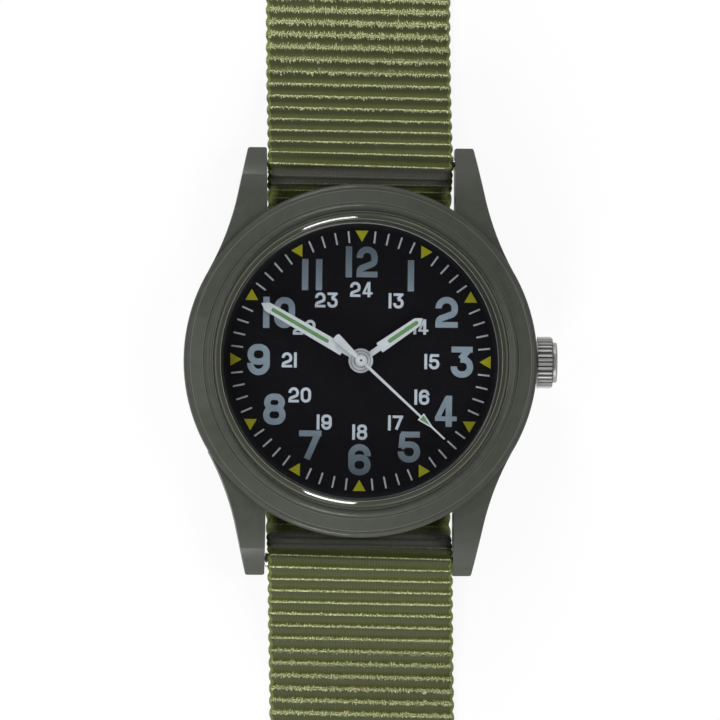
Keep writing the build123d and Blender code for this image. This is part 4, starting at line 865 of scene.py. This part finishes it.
@dataclass(frozen=True)
class Band:
    """A woven band with ribs across it, laid along a route.

    Attributes:
        name: The piece's name.
        route: The band's middle line, seen from its side.
        width: The band's width.
        thickness: The band's thickness over its ribs.
        rib: The length of one rib.
        depth: How deep the valleys between ribs are.
        place: The point in the frame for a distance across and a point of the route.
        reach: The half width at a distance from the start.
        closed: Whether the band's ends meet.
        skew: How far the ribs lean along the band for each length across it.
        steep: How much of its length a rib keeps, as seen from above, where the band is steep.
        hidden: How far from the middle the band is covered.
        take_up: The length of ribs that is lost where it is covered.
        lead: How far into a rib the band starts.
    """

    name: str
    route: Route
    width: float
    thickness: float
    rib: float
    depth: float
    place: Callable[[float, Vector], Vector]
    reach: Callable[[float], float]
    closed: bool = False
    skew: float = 0.0
    steep: float = 1.0
    hidden: float = 12.0 * MM
    take_up: float = 0.0
    lead: float = 0.0

    crest = 0.8
    notch = 0.32 * MM
    samples_per_rib = 8
    fewest_stations = 8
    weld = 0.001 * MM
    # The section's outline as shares of the half width and of the half thickness
    ring = (
        (-1.0, 0.0), (-0.99, 0.55), (-0.965, 0.9), (-0.93, 1.0), (-0.75, 1.0), (-0.5, 1.0),
        (-0.25, 1.0), (0.0, 1.0), (0.25, 1.0), (0.5, 1.0), (0.75, 1.0), (0.93, 1.0), (0.965, 0.9),
        (0.99, 0.55), (1.0, 0.0), (0.99, -0.55), (0.965, -0.9), (0.93, -1.0), (0.5, -1.0),
        (0.0, -1.0), (-0.5, -1.0), (-0.93, -1.0), (-0.965, -0.9), (-0.99, -0.55), (-1.0, 0.0),
    )

    def relief(self, woven: float) -> float:
        """How far the surface lies under the rib's crest, as a share of the depth."""
        return 0.5 - 0.5 * math.cos(2 * math.pi * (woven / self.rib - self.crest))

    def weave(self, stations: int) -> list[float]:
        """Measure the ribs woven so far, on the band's upper side.

        Args:
            stations: How many equal steps the route is walked in.

        Returns:
            The length of ribs up to each station.
        """
        places = [self.route.at(self.route.length * i / stations) for i in range(stations + 1)]
        upper = [point + left * self.thickness / 2 for point, left in places]
        woven = [-self.lead]
        for here, after in zip(upper, upper[1:]):
            step = after - here
            rate = 1.0 - self.take_up / (2 * self.hidden) if abs(here.x) < self.hidden else 1.0
            woven.append(woven[-1] + rate * max(abs(step.x), self.steep * step.length))
        return woven

    def build(self) -> bmesh.types.BMesh:
        """Lay the band along its route.

        Returns:
            The closed mesh, with a map in millimetres.
        """
        ribs = self.route.length / self.rib
        stations = max(self.fewest_stations, round(ribs * self.samples_per_rib))
        columns = len(self.ring) - 1
        bm = bmesh.new()
        bmesh.ops.create_grid(bm, x_segments=columns, y_segments=stations, size=1.0)
        woven = self.weave(stations)
        marks = {}
        for vertex in bm.verts:
            column = round((vertex.co.x + 1) / 2 * columns)
            station = round((vertex.co.y + 1) / 2 * stations)
            marks[vertex] = (column, self.route.length * station / stations, woven[station])
        layer = bm.loops.layers.uv.new("band")
        for face in bm.faces:
            for loop in face.loops:
                column, distance, length = marks[loop.vert]
                across = self.ring[column][0] * self.reach(distance)
                loop[layer].uv = (across / MM, length / MM)
        for vertex, (column, distance, length) in marks.items():
            side, height = self.ring[column]
            leaning = distance + self.skew * side * self.reach(distance)
            point, left = self.route.at(min(max(leaning, 0.0), self.route.length))
            fall = self.depth * self.relief(length)
            scallop = 1.0 - self.notch * self.relief(length) ** 2 / self.width
            lift = height * (self.thickness / 2 - fall)
            vertex.co = self.place(side * self.reach(distance) * scallop, point + left * lift)
        bmesh.ops.remove_doubles(bm, verts=bm.verts, dist=self.weld)
        if not self.closed:
            bmesh.ops.holes_fill(bm, edges=[e for e in bm.edges if e.is_boundary], sides=0)
        return bm


# The watch's groups of pieces


@dataclass
class Group:
    """Pieces of the watch that belong together, with the frame's CAD nodes by their names."""

    nodes: dict[str, bpy.types.Object]

    def dress(self, looks: dict[str, Look]) -> None:
        """Put a look on every slot of each CAD node.

        Args:
            looks: Each node's look by the node's name.
        """
        for name, look in looks.items():
            for slot in self.nodes[name].material_slots:
                slot.material = look.material()
            log.info("dressed %s in %s", name, look.name)


@dataclass(frozen=True)
class Glyph:
    """A number drawn with strokes of one width.

    Attributes:
        height: The height of its figures.
        stroke: The width of its strokes.
        figure_width: The width of every figure but 1.
        gap: The space between figures.
    """

    height: float
    stroke: float
    figure_width: float
    gap: float

    ones_gap = 1.65
    # Each stroke is its points, its corner radii as shares of half the width, and its width
    strokes = {
        "0": (([(0.5, 0), (1, 0), (1, 1), (0, 1), (0, 0), (0.5, 0)], [1, 1, 1, 1], 1.0),),
        "1": (([(0.5, -0.5), (0.5, 1.5)], [], 1.0),),
        "2": (
            ([(0, 0.66), (0, 1), (1, 1), (1, 0.46), (0, 0.22), (0, -0.1)], [1, 1, 0.62, 0.5], 1.0),
            ([(-0.5, 0), (1.5, 0)], [], 0.9),
        ),
        "3": (
            ([(-0.4, 1), (1.4, 1)], [], 0.92),
            ([(0.92, 1), (0.42, 0.62)], [], 1.0),
            ([(0.4, 0.6), (1, 0.6), (1, 0), (0, 0), (0, 0.32)], [0.85, 0.9, 0.9], 1.0),
        ),
        "4": (
            ([(0.7, -0.5), (0.7, 1.5)], [], 1.0),
            ([(-0.4, 0.2), (1.5, 0.2)], [], 0.72),
            ([(-0.06, 0.2), (0.6, 1.12)], [], 0.8),
        ),
        "5": (
            ([(0.0, 1), (1.4, 1)], [], 0.92),
            ([(0.1, 1.1), (0.02, 0.46)], [], 0.9),
            ([(0, 0.5), (0.3, 0.6), (1, 0.6), (1, 0), (0, 0), (0, 0.32)], [0.3, 0.85, 0.9, 0.9], 1.0),
        ),
        "6": (
            ([(0.5, 0), (1, 0), (1, 0.58), (0, 0.58), (0, 0), (0.5, 0)], [0.86] * 4, 1.0),
            ([(0, 0.3), (0, 1), (1, 1), (1, 0.64)], [1, 1], 1.0),
        ),
        "7": (
            ([(-0.5, 1), (1.5, 1)], [], 0.92),
            ([(0.98, 1.02), (0.3, -0.12)], [], 1.0),
        ),
        "8": (
            ([(0.5, 0), (1, 0), (1, 0.54), (0, 0.54), (0, 0), (0.5, 0)], [0.8] * 4, 1.0),
            (
                [(0.5, 0.54), (0.95, 0.54), (0.95, 1), (0.05, 1), (0.05, 0.54), (0.5, 0.54)],
                [0.7] * 4,
                1.0,
            ),
        ),
        "9": (
            ([(0.5, 1), (0, 1), (0, 0.42), (1, 0.42), (1, 1), (0.5, 1)], [0.86] * 4, 1.0),
            ([(1, 0.7), (1, 0), (0, 0), (0, 0.36)], [1, 1], 1.0),
        ),
    }

    def width_of(self, figure: str) -> float:
        """How wide one figure is."""
        return self.stroke if figure == "1" else self.figure_width

    def inset(self, value: float, size: float) -> float:
        """A place between the strokes' middle lines, or past them for a value under 0 or over 1."""
        inside = min(max(value, 0.0), 1.0)
        return self.stroke / 2 + inside * (size - self.stroke) + (value - inside) * self.stroke

    def draw(self, number: str, middle: Point) -> Iterable[tuple[Route, float]]:
        """Each stroke of a number centred on a point.

        Args:
            number: The figures to draw.
            middle: Where the number's middle is.

        Yields:
            The route and the width of each stroke.
        """
        pairs = zip(number, number[1:])
        gaps = [self.gap * (self.ones_gap if pair == ("1", "1") else 1) for pair in pairs]
        total = sum(self.width_of(figure) for figure in number) + sum(gaps)
        x = middle[0] - total / 2
        y = middle[1] - self.height / 2
        for figure, gap in zip(number, [*gaps, 0.0]):
            width = self.width_of(figure)
            half = (width - self.stroke) / 2
            for points, radii, share in self.strokes[figure]:
                corners = [
                    (x + self.inset(a, width), y + self.inset(b, self.height)) for a, b in points
                ]
                yield Route(corners, [r * half for r in radii]), self.stroke * share
            x += width + gap


@dataclass
class Dial(Group):
    """The dial with its printed marks and numbers."""

    film: float = 0.012 * MM
    film_step: float = 0.0015 * MM
    bend_steps: int = 28
    marks_inner: float = 11.37 * MM
    marks_outer: float = 12.51 * MM
    tick_width: float = 0.16 * MM
    triangle_radius: float = 0.72 * MM
    triangle_middle: float = 12.16 * MM
    single: Glyph = Glyph(3.0 * MM, 0.61 * MM, 2.16 * MM, 0.38 * MM)
    double: Glyph = replace(single, figure_width=2.02 * MM, gap=0.44 * MM)
    small: Glyph = Glyph(1.46 * MM, 0.27 * MM, 1.0 * MM, 0.17 * MM)
    hours_reach: float = 9.5 * MM
    small_reach: float = 6.85 * MM
    print_turn: float = math.radians(-0.3)

    # Numbers that stand further in or out than the rest of their ring
    own_reach = {
        3: 9.75 * MM, 9: 9.8 * MM, 10: 9.1 * MM,
        13: 6.7 * MM, 14: 6.65 * MM, 20: 6.7 * MM, 22: 6.3 * MM, 23: 6.7 * MM,
    }

    def ribbon(self, bm: bmesh.types.BMesh, route: Route, width: float, layer: int = 0) -> None:
        """Add one flat stroke.

        Args:
            bm: The print's mesh.
            route: The stroke's middle line.
            width: The stroke's width.
            layer: The layer of ink, which tells crossing strokes apart.
        """
        count = 1 if len(route.stretches) == 1 else self.bend_steps
        made = bmesh.ops.create_grid(bm, x_segments=1, y_segments=count, size=1.0)["verts"]
        for vertex in made:
            point, left = route.at(route.length * (vertex.co.y + 1) / 2)
            spot = point - left * (vertex.co.x * width / 2)
            vertex.co = (spot.x, spot.y, layer * self.film_step)

    def ink(self, bm: bmesh.types.BMesh, name: str, finish: Finish) -> None:
        """Give flat shapes the thickness of ink and lay them on the dial.

        Args:
            bm: The shapes, round the frame's origin.
            name: The piece's name.
            finish: The ink.
        """
        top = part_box("dial")[1].z
        made = bmesh.ops.extrude_face_region(bm, geom=bm.faces[:])
        raised = [item for item in made["geom"] if isinstance(item, bmesh.types.BMVert)]
        bmesh.ops.translate(bm, verts=raised, vec=(0, 0, self.film))
        bmesh.ops.translate(bm, verts=bm.verts, vec=(0, 0, top))
        bmesh.ops.rotate(bm, verts=bm.verts, matrix=Matrix.Rotation(self.print_turn, 3, "Z"))
        place_piece(settle(bm, name), finish, Slot.DIAL_BLACK, "watch")

    def numbers(self, name: str, glyph: Glyph, hours: range, reach: float, finish: Finish) -> None:
        """Print a ring of numbers.

        Args:
            name: The piece's name.
            glyph: How the figures are drawn.
            hours: The numbers.
            reach: How far from the centre most of them stand.
            finish: The ink.
        """
        bm = bmesh.new()
        for hour in hours:
            out = self.own_reach.get(hour, reach)
            turn = math.radians(30 * (hour % 12))
            middle = (out * math.sin(turn), out * math.cos(turn))
            for layer, (route, width) in enumerate(glyph.draw(str(hour), middle)):
                self.ribbon(bm, route, width, layer)
        self.ink(bm, name, finish)

    def ticks(self) -> None:
        """Print the four ticks between each pair of triangles."""
        bm = bmesh.new()
        for mark in range(60):
            if mark % 5:
                turn = math.radians(6 * mark)
                way = Vector((math.sin(turn), math.cos(turn)))
                ends = [tuple(way * self.marks_inner), tuple(way * self.marks_outer)]
                self.ribbon(bm, Route(ends), self.tick_width)
        self.ink(bm, "dial_ticks", MARK_PALE)

    def triangles(self) -> None:
        """Print the twelve triangles that point to the centre."""
        bm = bmesh.new()
        out = Matrix.Translation((0, self.triangle_middle, 0))
        inward = out @ Matrix.Rotation(math.pi, 4, "Z")
        for hour in range(12):
            turn = Matrix.Rotation(-math.radians(30 * hour), 4, "Z")
            bmesh.ops.create_circle(
                bm, cap_ends=True, segments=3, radius=self.triangle_radius, matrix=turn @ inward
            )
        self.ink(bm, "dial_triangles", MARK_YELLOW)

    def build(self) -> None:
        """Dress the dial and print everything on it."""
        self.dress({"dial": DIAL_BLACK, "dial_flange": FLANGE_BLACK})
        self.numbers("dial_hours", self.single, range(1, 10), self.hours_reach, HOUR_PRINT)
        self.numbers("dial_double_hours", self.double, range(10, 13), self.hours_reach, HOUR_PRINT)
        self.numbers("dial_day_hours", self.small, range(13, 25), self.small_reach, SMALL_PRINT)
        self.ticks()
        self.triangles()


@dataclass
class Case(Group):
    """The case, its back, its crystal and the seals."""

    flute_depth: float = 0.09 * MM
    flute_blur: float = 0.06 * MM
    flute_start: float = 0.8
    flute_shade: Colour = (0.07, 0.07, 0.075)

    def crown_finish(self) -> Finish:
        """Paint shade on the crown's steel at the bottom of its flutes.

        Returns:
            The finish.
        """
        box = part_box("crown")
        y, radius = box_span(box, Y)
        axis = (0.0, y, box_span(box, Z)[0])
        inner, outer = radius * self.flute_start, radius - self.flute_depth
        bottoms = Ring(self.flute_shade, inner, outer, self.flute_blur, (0.0, 1.0, 1.0), axis)
        return replace(CROWN_STEEL, rings=(bottoms,))

    def build(self) -> None:
        """Dress the case's own pieces."""
        self.dress({
            "case": CASE_PAINT,
            "case_back": BACK_STEEL,
            "case_back_gasket": RUBBER,
            "crystal_gasket": SEAL_OLIVE,
            "crystal": Glass(),
            "crown_tube": STEEL,
            "crown": self.crown_finish(),
            "crown_gasket": RUBBER,
        })


@dataclass
class Hands(Group):
    """The three hands with their luminous inserts."""

    def build(self) -> None:
        """Dress each hand and its insert."""
        paints = {"hour_hand": HUB_PAINT, "minute_hand": HUB_PAINT, "second_hand": HAND_PAINT}
        for hand, paint in paints.items():
            self.dress({hand: paint, hand + "_lume": LUME})


@dataclass
class Movement(Group):
    """Everything between the dial and the case back."""

    def build(self) -> None:
        """Dress the movement's pieces by what they are made of."""
        groups = {
            BRASS: (
                "centre_wheel", "cannon_pinion", "minute_wheel", "hour_wheel", "setting_wheel",
                "third_wheel", "fifth_wheel", "centre_tube",
            ),
            DARK_STEEL: ("second_wheel",),
            PLATE_BRASS: ("mainplate", "train_bridge"),
            STEEL: (
                "rotor_pinion", "movement_screws", "coil_screws", "battery", "battery_clamp",
                "stem", "setting_lever", "yoke", "sliding_pinion", "quartz_crystal",
            ),
            MAGNET: ("rotor_magnet",),
            RING_PLASTIC: ("movement_ring",),
            CORE_IRON: ("stator", "coil_core"),
            BOARD: ("circuit_board",),
            CHIP: ("circuit_chip",),
            Winding(): ("coil",),
        }
        for finish, names in groups.items():
            self.dress(dict.fromkeys(names, finish))


@dataclass
class Strap(Group):
    """The one-piece strap, folded and sewn round the buckle bar.

    The sizes repeat the frame's strap, and its boxes give the rest.
    """

    thickness: float = 1.2 * MM
    rib: float = 1.2 * MM
    rib_depth: float = 0.2 * MM
    fabric_gap: float = 0.1 * MM
    running_gap: float = 0.05 * MM
    climb: float = math.radians(60)
    fall: float = math.radians(27)
    foot_radius: float = 2.0 * MM
    landing_radius: float = 20.0 * MM
    ramp_radius: float = 6.0 * MM
    fold_length: float = 16.0 * MM
    fold_margin: float = 0.5 * MM
    ramp_length: float = 7.0 * MM
    climb_length: float = 6.5 * MM
    tip_rise: float = 5.0 * MM
    tip_blunt: float = 0.02 * MM
    hole_radius: float = 1.0 * MM
    hole_depth: float = 8.0 * MM
    hole_pitch: float = 7.0 * MM
    first_hole_back: float = 71.0 * MM
    holes: int = 9
    slot_play: float = 0.3 * MM
    slot_size: Pair = (14.0 * MM, 20.0 * MM)
    slot_back: float = 5.5 * MM
    rim: float = 0.11 * MM
    rim_rise: float = 0.9
    stitch_size: Triple = (0.52 * MM, 0.17 * MM, 0.13 * MM)
    stitch_pitch: float = 1.3 * MM
    stitch_sunk: float = 0.05 * MM
    stitches_aside: int = 6
    stitch_rows: Triple = (15.1 * MM, 14.1 * MM, 7.6 * MM)
    loop_thickness: float = 0.8 * MM
    loop_rib: float = 1.08 * MM
    loop_rib_depth: float = 0.12 * MM
    rib_steep: float = 0.96
    rib_take_up: float = 0.58 * MM
    rib_lead: float = 0.09 * MM
    rib_lean: float = -0.017
    bow_start: float = 10.0 * MM
    bow_length: float = 56.0 * MM
    tail_bow: float = 0.55 * MM
    head_bow: float = -0.25 * MM

    def __post_init__(self) -> None:
        """Read the sizes that the frame gives."""
        low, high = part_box("strap")
        self.width = high.x - low.x
        self.tail = low.y
        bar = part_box("buckle_bar")
        self.buckle_y, _ = box_span(bar, Y)
        self.buckle_z, self.buckle_radius = box_span(bar, Z)
        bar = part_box("spring_bar_tube_top")
        self.bar_y, _ = box_span(bar, Y)
        self.bar_z, self.bar_radius = box_span(bar, Z)
        loop_low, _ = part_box("strap_loop")
        inside = loop_low.z + self.loop_thickness + self.running_gap
        self.top_layer = inside + self.thickness / 2

    def hump(self, way: int) -> tuple[list[Point], list[float]]:
        """Lay the way over one spring bar.

        Args:
            way: 1 for the bar on the buckle's side, -1 for the other.

        Returns:
            The corners and the radii at them.
        """
        wrap = self.bar_radius + self.running_gap + self.thickness / 2
        low = self.thickness / 2
        far = wrap / math.cos((self.climb + self.fall) / 2)
        lean = math.pi / 2 + (self.climb - self.fall) / 2
        apex_y = self.bar_y + far * math.cos(lean)
        apex_z = self.bar_z + far * math.sin(lean)
        foot = apex_y - (apex_z - low) / math.tan(self.climb)
        landing = apex_y + (apex_z - low) / math.tan(self.fall)
        corners = [(way * foot, low), (way * apex_y, apex_z), (way * landing, low)]
        return corners, [self.foot_radius, wrap, self.landing_radius]

    def route(self) -> Route:
        """Lay the strap's middle line.

        Returns:
            The line from the strap's tail to its folded end.
        """
        low = self.thickness / 2
        wrap = self.buckle_radius + self.fabric_gap + self.thickness / 2
        fold_start = self.buckle_y - self.fold_length
        ramp_end = fold_start - self.fold_margin
        climb_start = self.buckle_y - self.climb_length
        tail, tail_radii = self.hump(-1)
        head, head_radii = self.hump(1)
        drop = math.atan2(self.buckle_z - self.top_layer, self.climb_length)
        reach = math.hypot(self.climb_length, self.top_layer - self.buckle_z)
        rise = drop + math.asin(wrap / reach)
        side = self.buckle_y + wrap
        shoulder = self.buckle_z + wrap * math.tan((math.pi / 2 + rise) / 2)
        corners = [(self.tail, low), *reversed(tail), *head, (ramp_end - self.ramp_length, low)]
        corners += [(ramp_end, self.top_layer), (climb_start, self.top_layer)]
        corners += [(side, shoulder), (side, low), (fold_start, low)]
        radii = [*reversed(tail_radii), *head_radii, *[self.ramp_radius] * 3, wrap, wrap]
        return Route(corners, radii)

    def place(self, across: float, point: Vector) -> Vector:
        """Bow the soft strap a little sideways near the case.

        Args:
            across: The place across the strap.
            point: The place along it and over the table.

        Returns:
            The point in the frame.
        """
        far = abs(point.x)
        rise = min(max((far - self.bow_start) / self.bow_length, 0.0), 1.0)
        bow = self.tail_bow if point.x < 0 else self.head_bow
        return Vector((across + bow * math.sin(rise * math.pi) ** 2, point.x, point.y))

    def reach(self, distance: float) -> float:
        """Draw the strap in round its tip.

        Args:
            distance: How far from the tip.

        Returns:
            The half width there.
        """
        half = self.width / 2
        if distance >= self.tip_rise:
            return half
        radius = (half**2 + self.tip_rise**2) / (2 * self.tip_rise)
        distance = max(distance, self.tip_blunt)
        return math.sqrt(radius**2 - (radius - distance) ** 2)

    def cutters(self) -> bpy.types.Object:
        """Shape what is cut out of the strap.

        Returns:
            The holes and the tongue's slot as one shape.
        """
        bm = bmesh.new()
        radius = self.hole_radius
        for y in self.hole_places():
            bmesh.ops.create_cone(
                bm, cap_ends=True, segments=32, radius1=radius, radius2=radius,
                depth=self.hole_depth, matrix=Matrix.Translation((0, y, 0)),
            )
        half = box_span(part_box("buckle_tongue"), X)[1] + self.slot_play
        length, height = self.slot_size
        move = Matrix.Translation((0, self.buckle_y - self.slot_back + length / 2, 0))
        size = Matrix.Diagonal((2 * half, length, height, 1))
        bmesh.ops.create_cube(bm, size=1.0, matrix=move @ size)
        return settle(bm, "strap_cutters")

    def hole_places(self) -> list[float]:
        """Where the holes are along the strap."""
        first = self.tail + self.first_hole_back
        return [first - hole * self.hole_pitch for hole in range(self.holes)]

    def body(self) -> bpy.types.Object:
        """Weave the band itself and cut it for the buckle.

        Returns:
            The piece.
        """
        band = Band(
            "strap_webbing", self.route(), self.width, self.thickness, self.rib, self.rib_depth,
            self.place, self.reach, skew=self.rib_lean, steep=self.rib_steep,
            take_up=self.rib_take_up, lead=self.rib_lead,
        )
        piece = settle(band.build(), band.name, sharp=60.0)
        cutters = self.cutters()
        cut = piece.modifiers.new("holes", "BOOLEAN")
        cut.operation = "DIFFERENCE"
        cut.solver = "EXACT"
        cut.object = cutters
        ready = piece.evaluated_get(bpy.context.evaluated_depsgraph_get())
        mesh = bpy.data.meshes.new_from_object(ready)
        piece.modifiers.clear()
        piece.data = mesh
        bpy.data.objects.remove(cutters)
        return place_piece(piece, Webbing(), Slot.NYLON, "watch")

    def rims(self) -> bpy.types.Object:
        """Melt a ring round each hole, above and below.

        Returns:
            The piece.
        """
        bm = bmesh.new()
        rise = self.rim * self.rim_rise
        section = Matrix.Translation((self.hole_radius, 0, 0)) @ Matrix.Rotation(math.pi / 2, 4, "X")
        for y in self.hole_places():
            for z in (self.thickness - rise, rise):
                move = Matrix.Translation((0, y, z)) @ section
                ring = bmesh.ops.create_circle(bm, segments=10, radius=self.rim, matrix=move)["verts"]
                edges = {edge for vertex in ring for edge in vertex.link_edges}
                bmesh.ops.spin(
                    bm, geom=[*ring, *edges], cent=(0, y, z), axis=(0, 0, 1), angle=2 * math.pi,
                    steps=32, use_merge=True,
                )
        return place_piece(settle(bm, "strap_hole_rims", sharp=80.0), THREAD, Slot.NYLON, "watch")

    def stitches(self) -> bpy.types.Object:
        """Sew the rows of thread that hold the fold.

        Returns:
            The piece.
        """
        bm = bmesh.new()
        top = self.top_layer + self.thickness / 2 - self.stitch_sunk
        size = Matrix.Diagonal((*self.stitch_size, 1))
        for back in self.stitch_rows:
            for step in range(-self.stitches_aside, self.stitches_aside + 1):
                move = Matrix.Translation((step * self.stitch_pitch, self.buckle_y - back, top))
                bmesh.ops.create_uvsphere(
                    bm, u_segments=10, v_segments=6, radius=1.0, matrix=move @ size
                )
        return place_piece(settle(bm, "strap_stitches", sharp=80.0), THREAD, Slot.NYLON, "watch")

    def loop(self) -> bpy.types.Object:
        """Weave the loop that holds the tail.

        Returns:
            The piece.
        """
        low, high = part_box("strap_loop")
        half = self.loop_thickness / 2
        left, right = low.x + half, high.x - half
        bottom, top = low.z + half, high.z - half
        corners = [(0, bottom), (right, bottom), (right, top), (left, top), (left, bottom), (0, bottom)]
        route = Route(corners, [half + self.fabric_gap] * 4)
        middle, reach = box_span((low, high), Y)
        band = Band(
            "strap_loop_webbing", route, 2 * reach, self.loop_thickness, self.loop_rib,
            self.loop_rib_depth, lambda across, point: Vector((point.x, middle + across, point.y)),
            lambda distance: reach, True,
        )
        piece = settle(band.build(), band.name, sharp=60.0)
        look = Webbing("olive_loop_webbing", rib=self.loop_rib / MM, width=2 * reach / MM)
        return place_piece(piece, look, Slot.NYLON, "watch")

    def build(self) -> None:
        """Build the strap and hide the frame's strap and loop."""
        strap = self.body()
        extras = [self.rims(), self.stitches(), self.loop()]
        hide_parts("strap")
        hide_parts("strap_loop")
        self.route().length


@dataclass
class Metalwork(Group):
    """The buckle and the two spring bars."""

    def build(self) -> None:
        """Dress the buckle and the spring bars in steel."""
        names = ["buckle_bar", "buckle_frame", "buckle_tongue"]
        for end in ("top", "bottom"):
            names += [f"spring_bar_tube_{end}", f"spring_bar_spring_{end}"]
            names += [f"spring_bar_pin_{end}_{side}" for side in ("right", "left")]
        self.dress(dict.fromkeys(names, STEEL))


@dataclass(frozen=True)
class FloorPaint(Look):
    """White that looks evenly lit, yet keeps a faint shadow."""

    name: str = "white_floor"
    matt: float = 0.96
    glow: float = 0.9

    def wire(self, graph: Graph) -> None:
        """Mix white light into a matt white for the rays that see the floor.

        Args:
            graph: The material's node graph.
        """
        path = graph.add("LightPath").outputs
        seen = graph.maths(
            "MAXIMUM", path["Is Camera Ray"], path["Is Glossy Ray"], path["Is Transmission Ray"]
        )
        white = graph.add("Emission", {"Color": (1.0, 1.0, 1.0), "Strength": 1.0})
        matt = graph.add("BsdfDiffuse", {"Color": (self.matt,) * 3})
        shares = {0: graph.times(seen, self.glow), 1: matt.outputs[0], 2: white.outputs[0]}
        graph.show(graph.add("MixShader", shares))


@dataclass
class Studio:
    """The floor, the lamps, the world and the camera."""

    lens: float = 600.0
    sensor: float = 36.0
    clip_ratio: float = 20.0
    view_height: float = 4.0 * MM
    floor_size: float = 1.5
    floor_drop: float = 0.05 * MM
    surround: float = 0.03
    aim: Point = (0.03 * MM, 0.14 * MM)
    lean_left: float = -math.radians(2.0)
    lean_down: float = math.radians(1.5)

    # Where each softbox stands, its width and height, and its power in watts
    softboxes = {
        "top": ((-0.09, 0.47, 0.22), (0.18, 0.14), 1.75),
        "bottom": ((-0.09, -0.47, 0.22), (0.18, 0.15), 2.4),
        "left": ((-0.44, 0.0, 0.67), (0.35, 0.35), 1.25),
        "right": ((0.44, 0.0, 0.67), (0.35, 0.35), 1.95),
    }

    def floor(self) -> None:
        """Lay a floor just under the watch."""
        bm = bmesh.new()
        bmesh.ops.create_grid(bm, x_segments=1, y_segments=1, size=self.floor_size)
        bmesh.ops.translate(bm, verts=bm.verts, vec=(0, 0, -self.floor_drop))
        floor = settle(bm, "floor")
        floor.data.materials.append(FloorPaint().material())

    def world(self) -> None:
        """A plain grey surround."""
        world = bpy.data.worlds.new("surround")
        world.use_nodes = True
        graph = Graph(world.node_tree)
        back = graph.add("Background", {"Color": (1.0, 1.0, 1.0), "Strength": self.surround})
        graph.add("OutputWorld", {"Surface": back.outputs[0]})
        bpy.context.scene.world = world

    def lamp(self, name: str, place: Triple, size: Pair, power: float) -> None:
        """One softbox that faces the watch.

        Args:
            name: The lamp's name.
            place: Where it stands.
            size: Its width and height.
            power: Its strength in watts.
        """
        data = bpy.data.lights.new(name, "AREA")
        data.shape = "RECTANGLE"
        data.size, data.size_y = size
        data.energy = power
        lamp = bpy.data.objects.new(name, data)
        lamp.location = place
        lamp.rotation_euler = (-Vector(place)).to_track_quat("-Z", "Y").to_euler()
        bpy.context.scene.collection.objects.link(lamp)

    def camera(self) -> None:
        """A long lens straight above the dial, turned as the photograph is."""
        data = bpy.data.cameras.new("camera")
        data.lens = self.lens
        data.sensor_width = self.sensor
        frame_size = PHOTO_PIXELS * MM_PER_PIXEL * MM
        distance = frame_size * self.lens / self.sensor
        data.clip_start = distance / self.clip_ratio
        data.clip_end = distance * self.clip_ratio
        camera = bpy.data.objects.new("camera", data)
        target = Vector((*self.aim, self.view_height))
        lean = Matrix.Rotation(self.lean_left, 3, "Y") @ Matrix.Rotation(self.lean_down, 3, "X")
        camera.location = target + lean @ Vector((0, 0, distance))
        turned = lean @ Matrix.Rotation(math.radians(PHOTO_TURN), 3, "Z")
        camera.rotation_euler = turned.to_euler()
        bpy.context.scene.collection.objects.link(camera)
        bpy.context.scene.camera = camera

    def build(self) -> None:
        """Set up everything round the watch."""
        self.floor()
        self.world()
        for side, (place, size, power) in self.softboxes.items():
            self.lamp("softbox_" + side, place, size, power)
        self.camera()
        bpy.context.scene.view_settings.view_transform = "Standard"


def main() -> None:
    """Build the looks of every group of pieces."""
    logging.basicConfig(level=logging.INFO, format="%(message)s")
    for item in list(bpy.data.objects):
        bpy.data.objects.remove(item)
    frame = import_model()
    nodes = frame["nodes"]
    for group in (Case, Dial, Hands, Movement, Strap, Metalwork):
        group(nodes).build()
        log.info("finished %s", group.__name__)
    Studio().build()


if __name__ == "__main__":
    main()
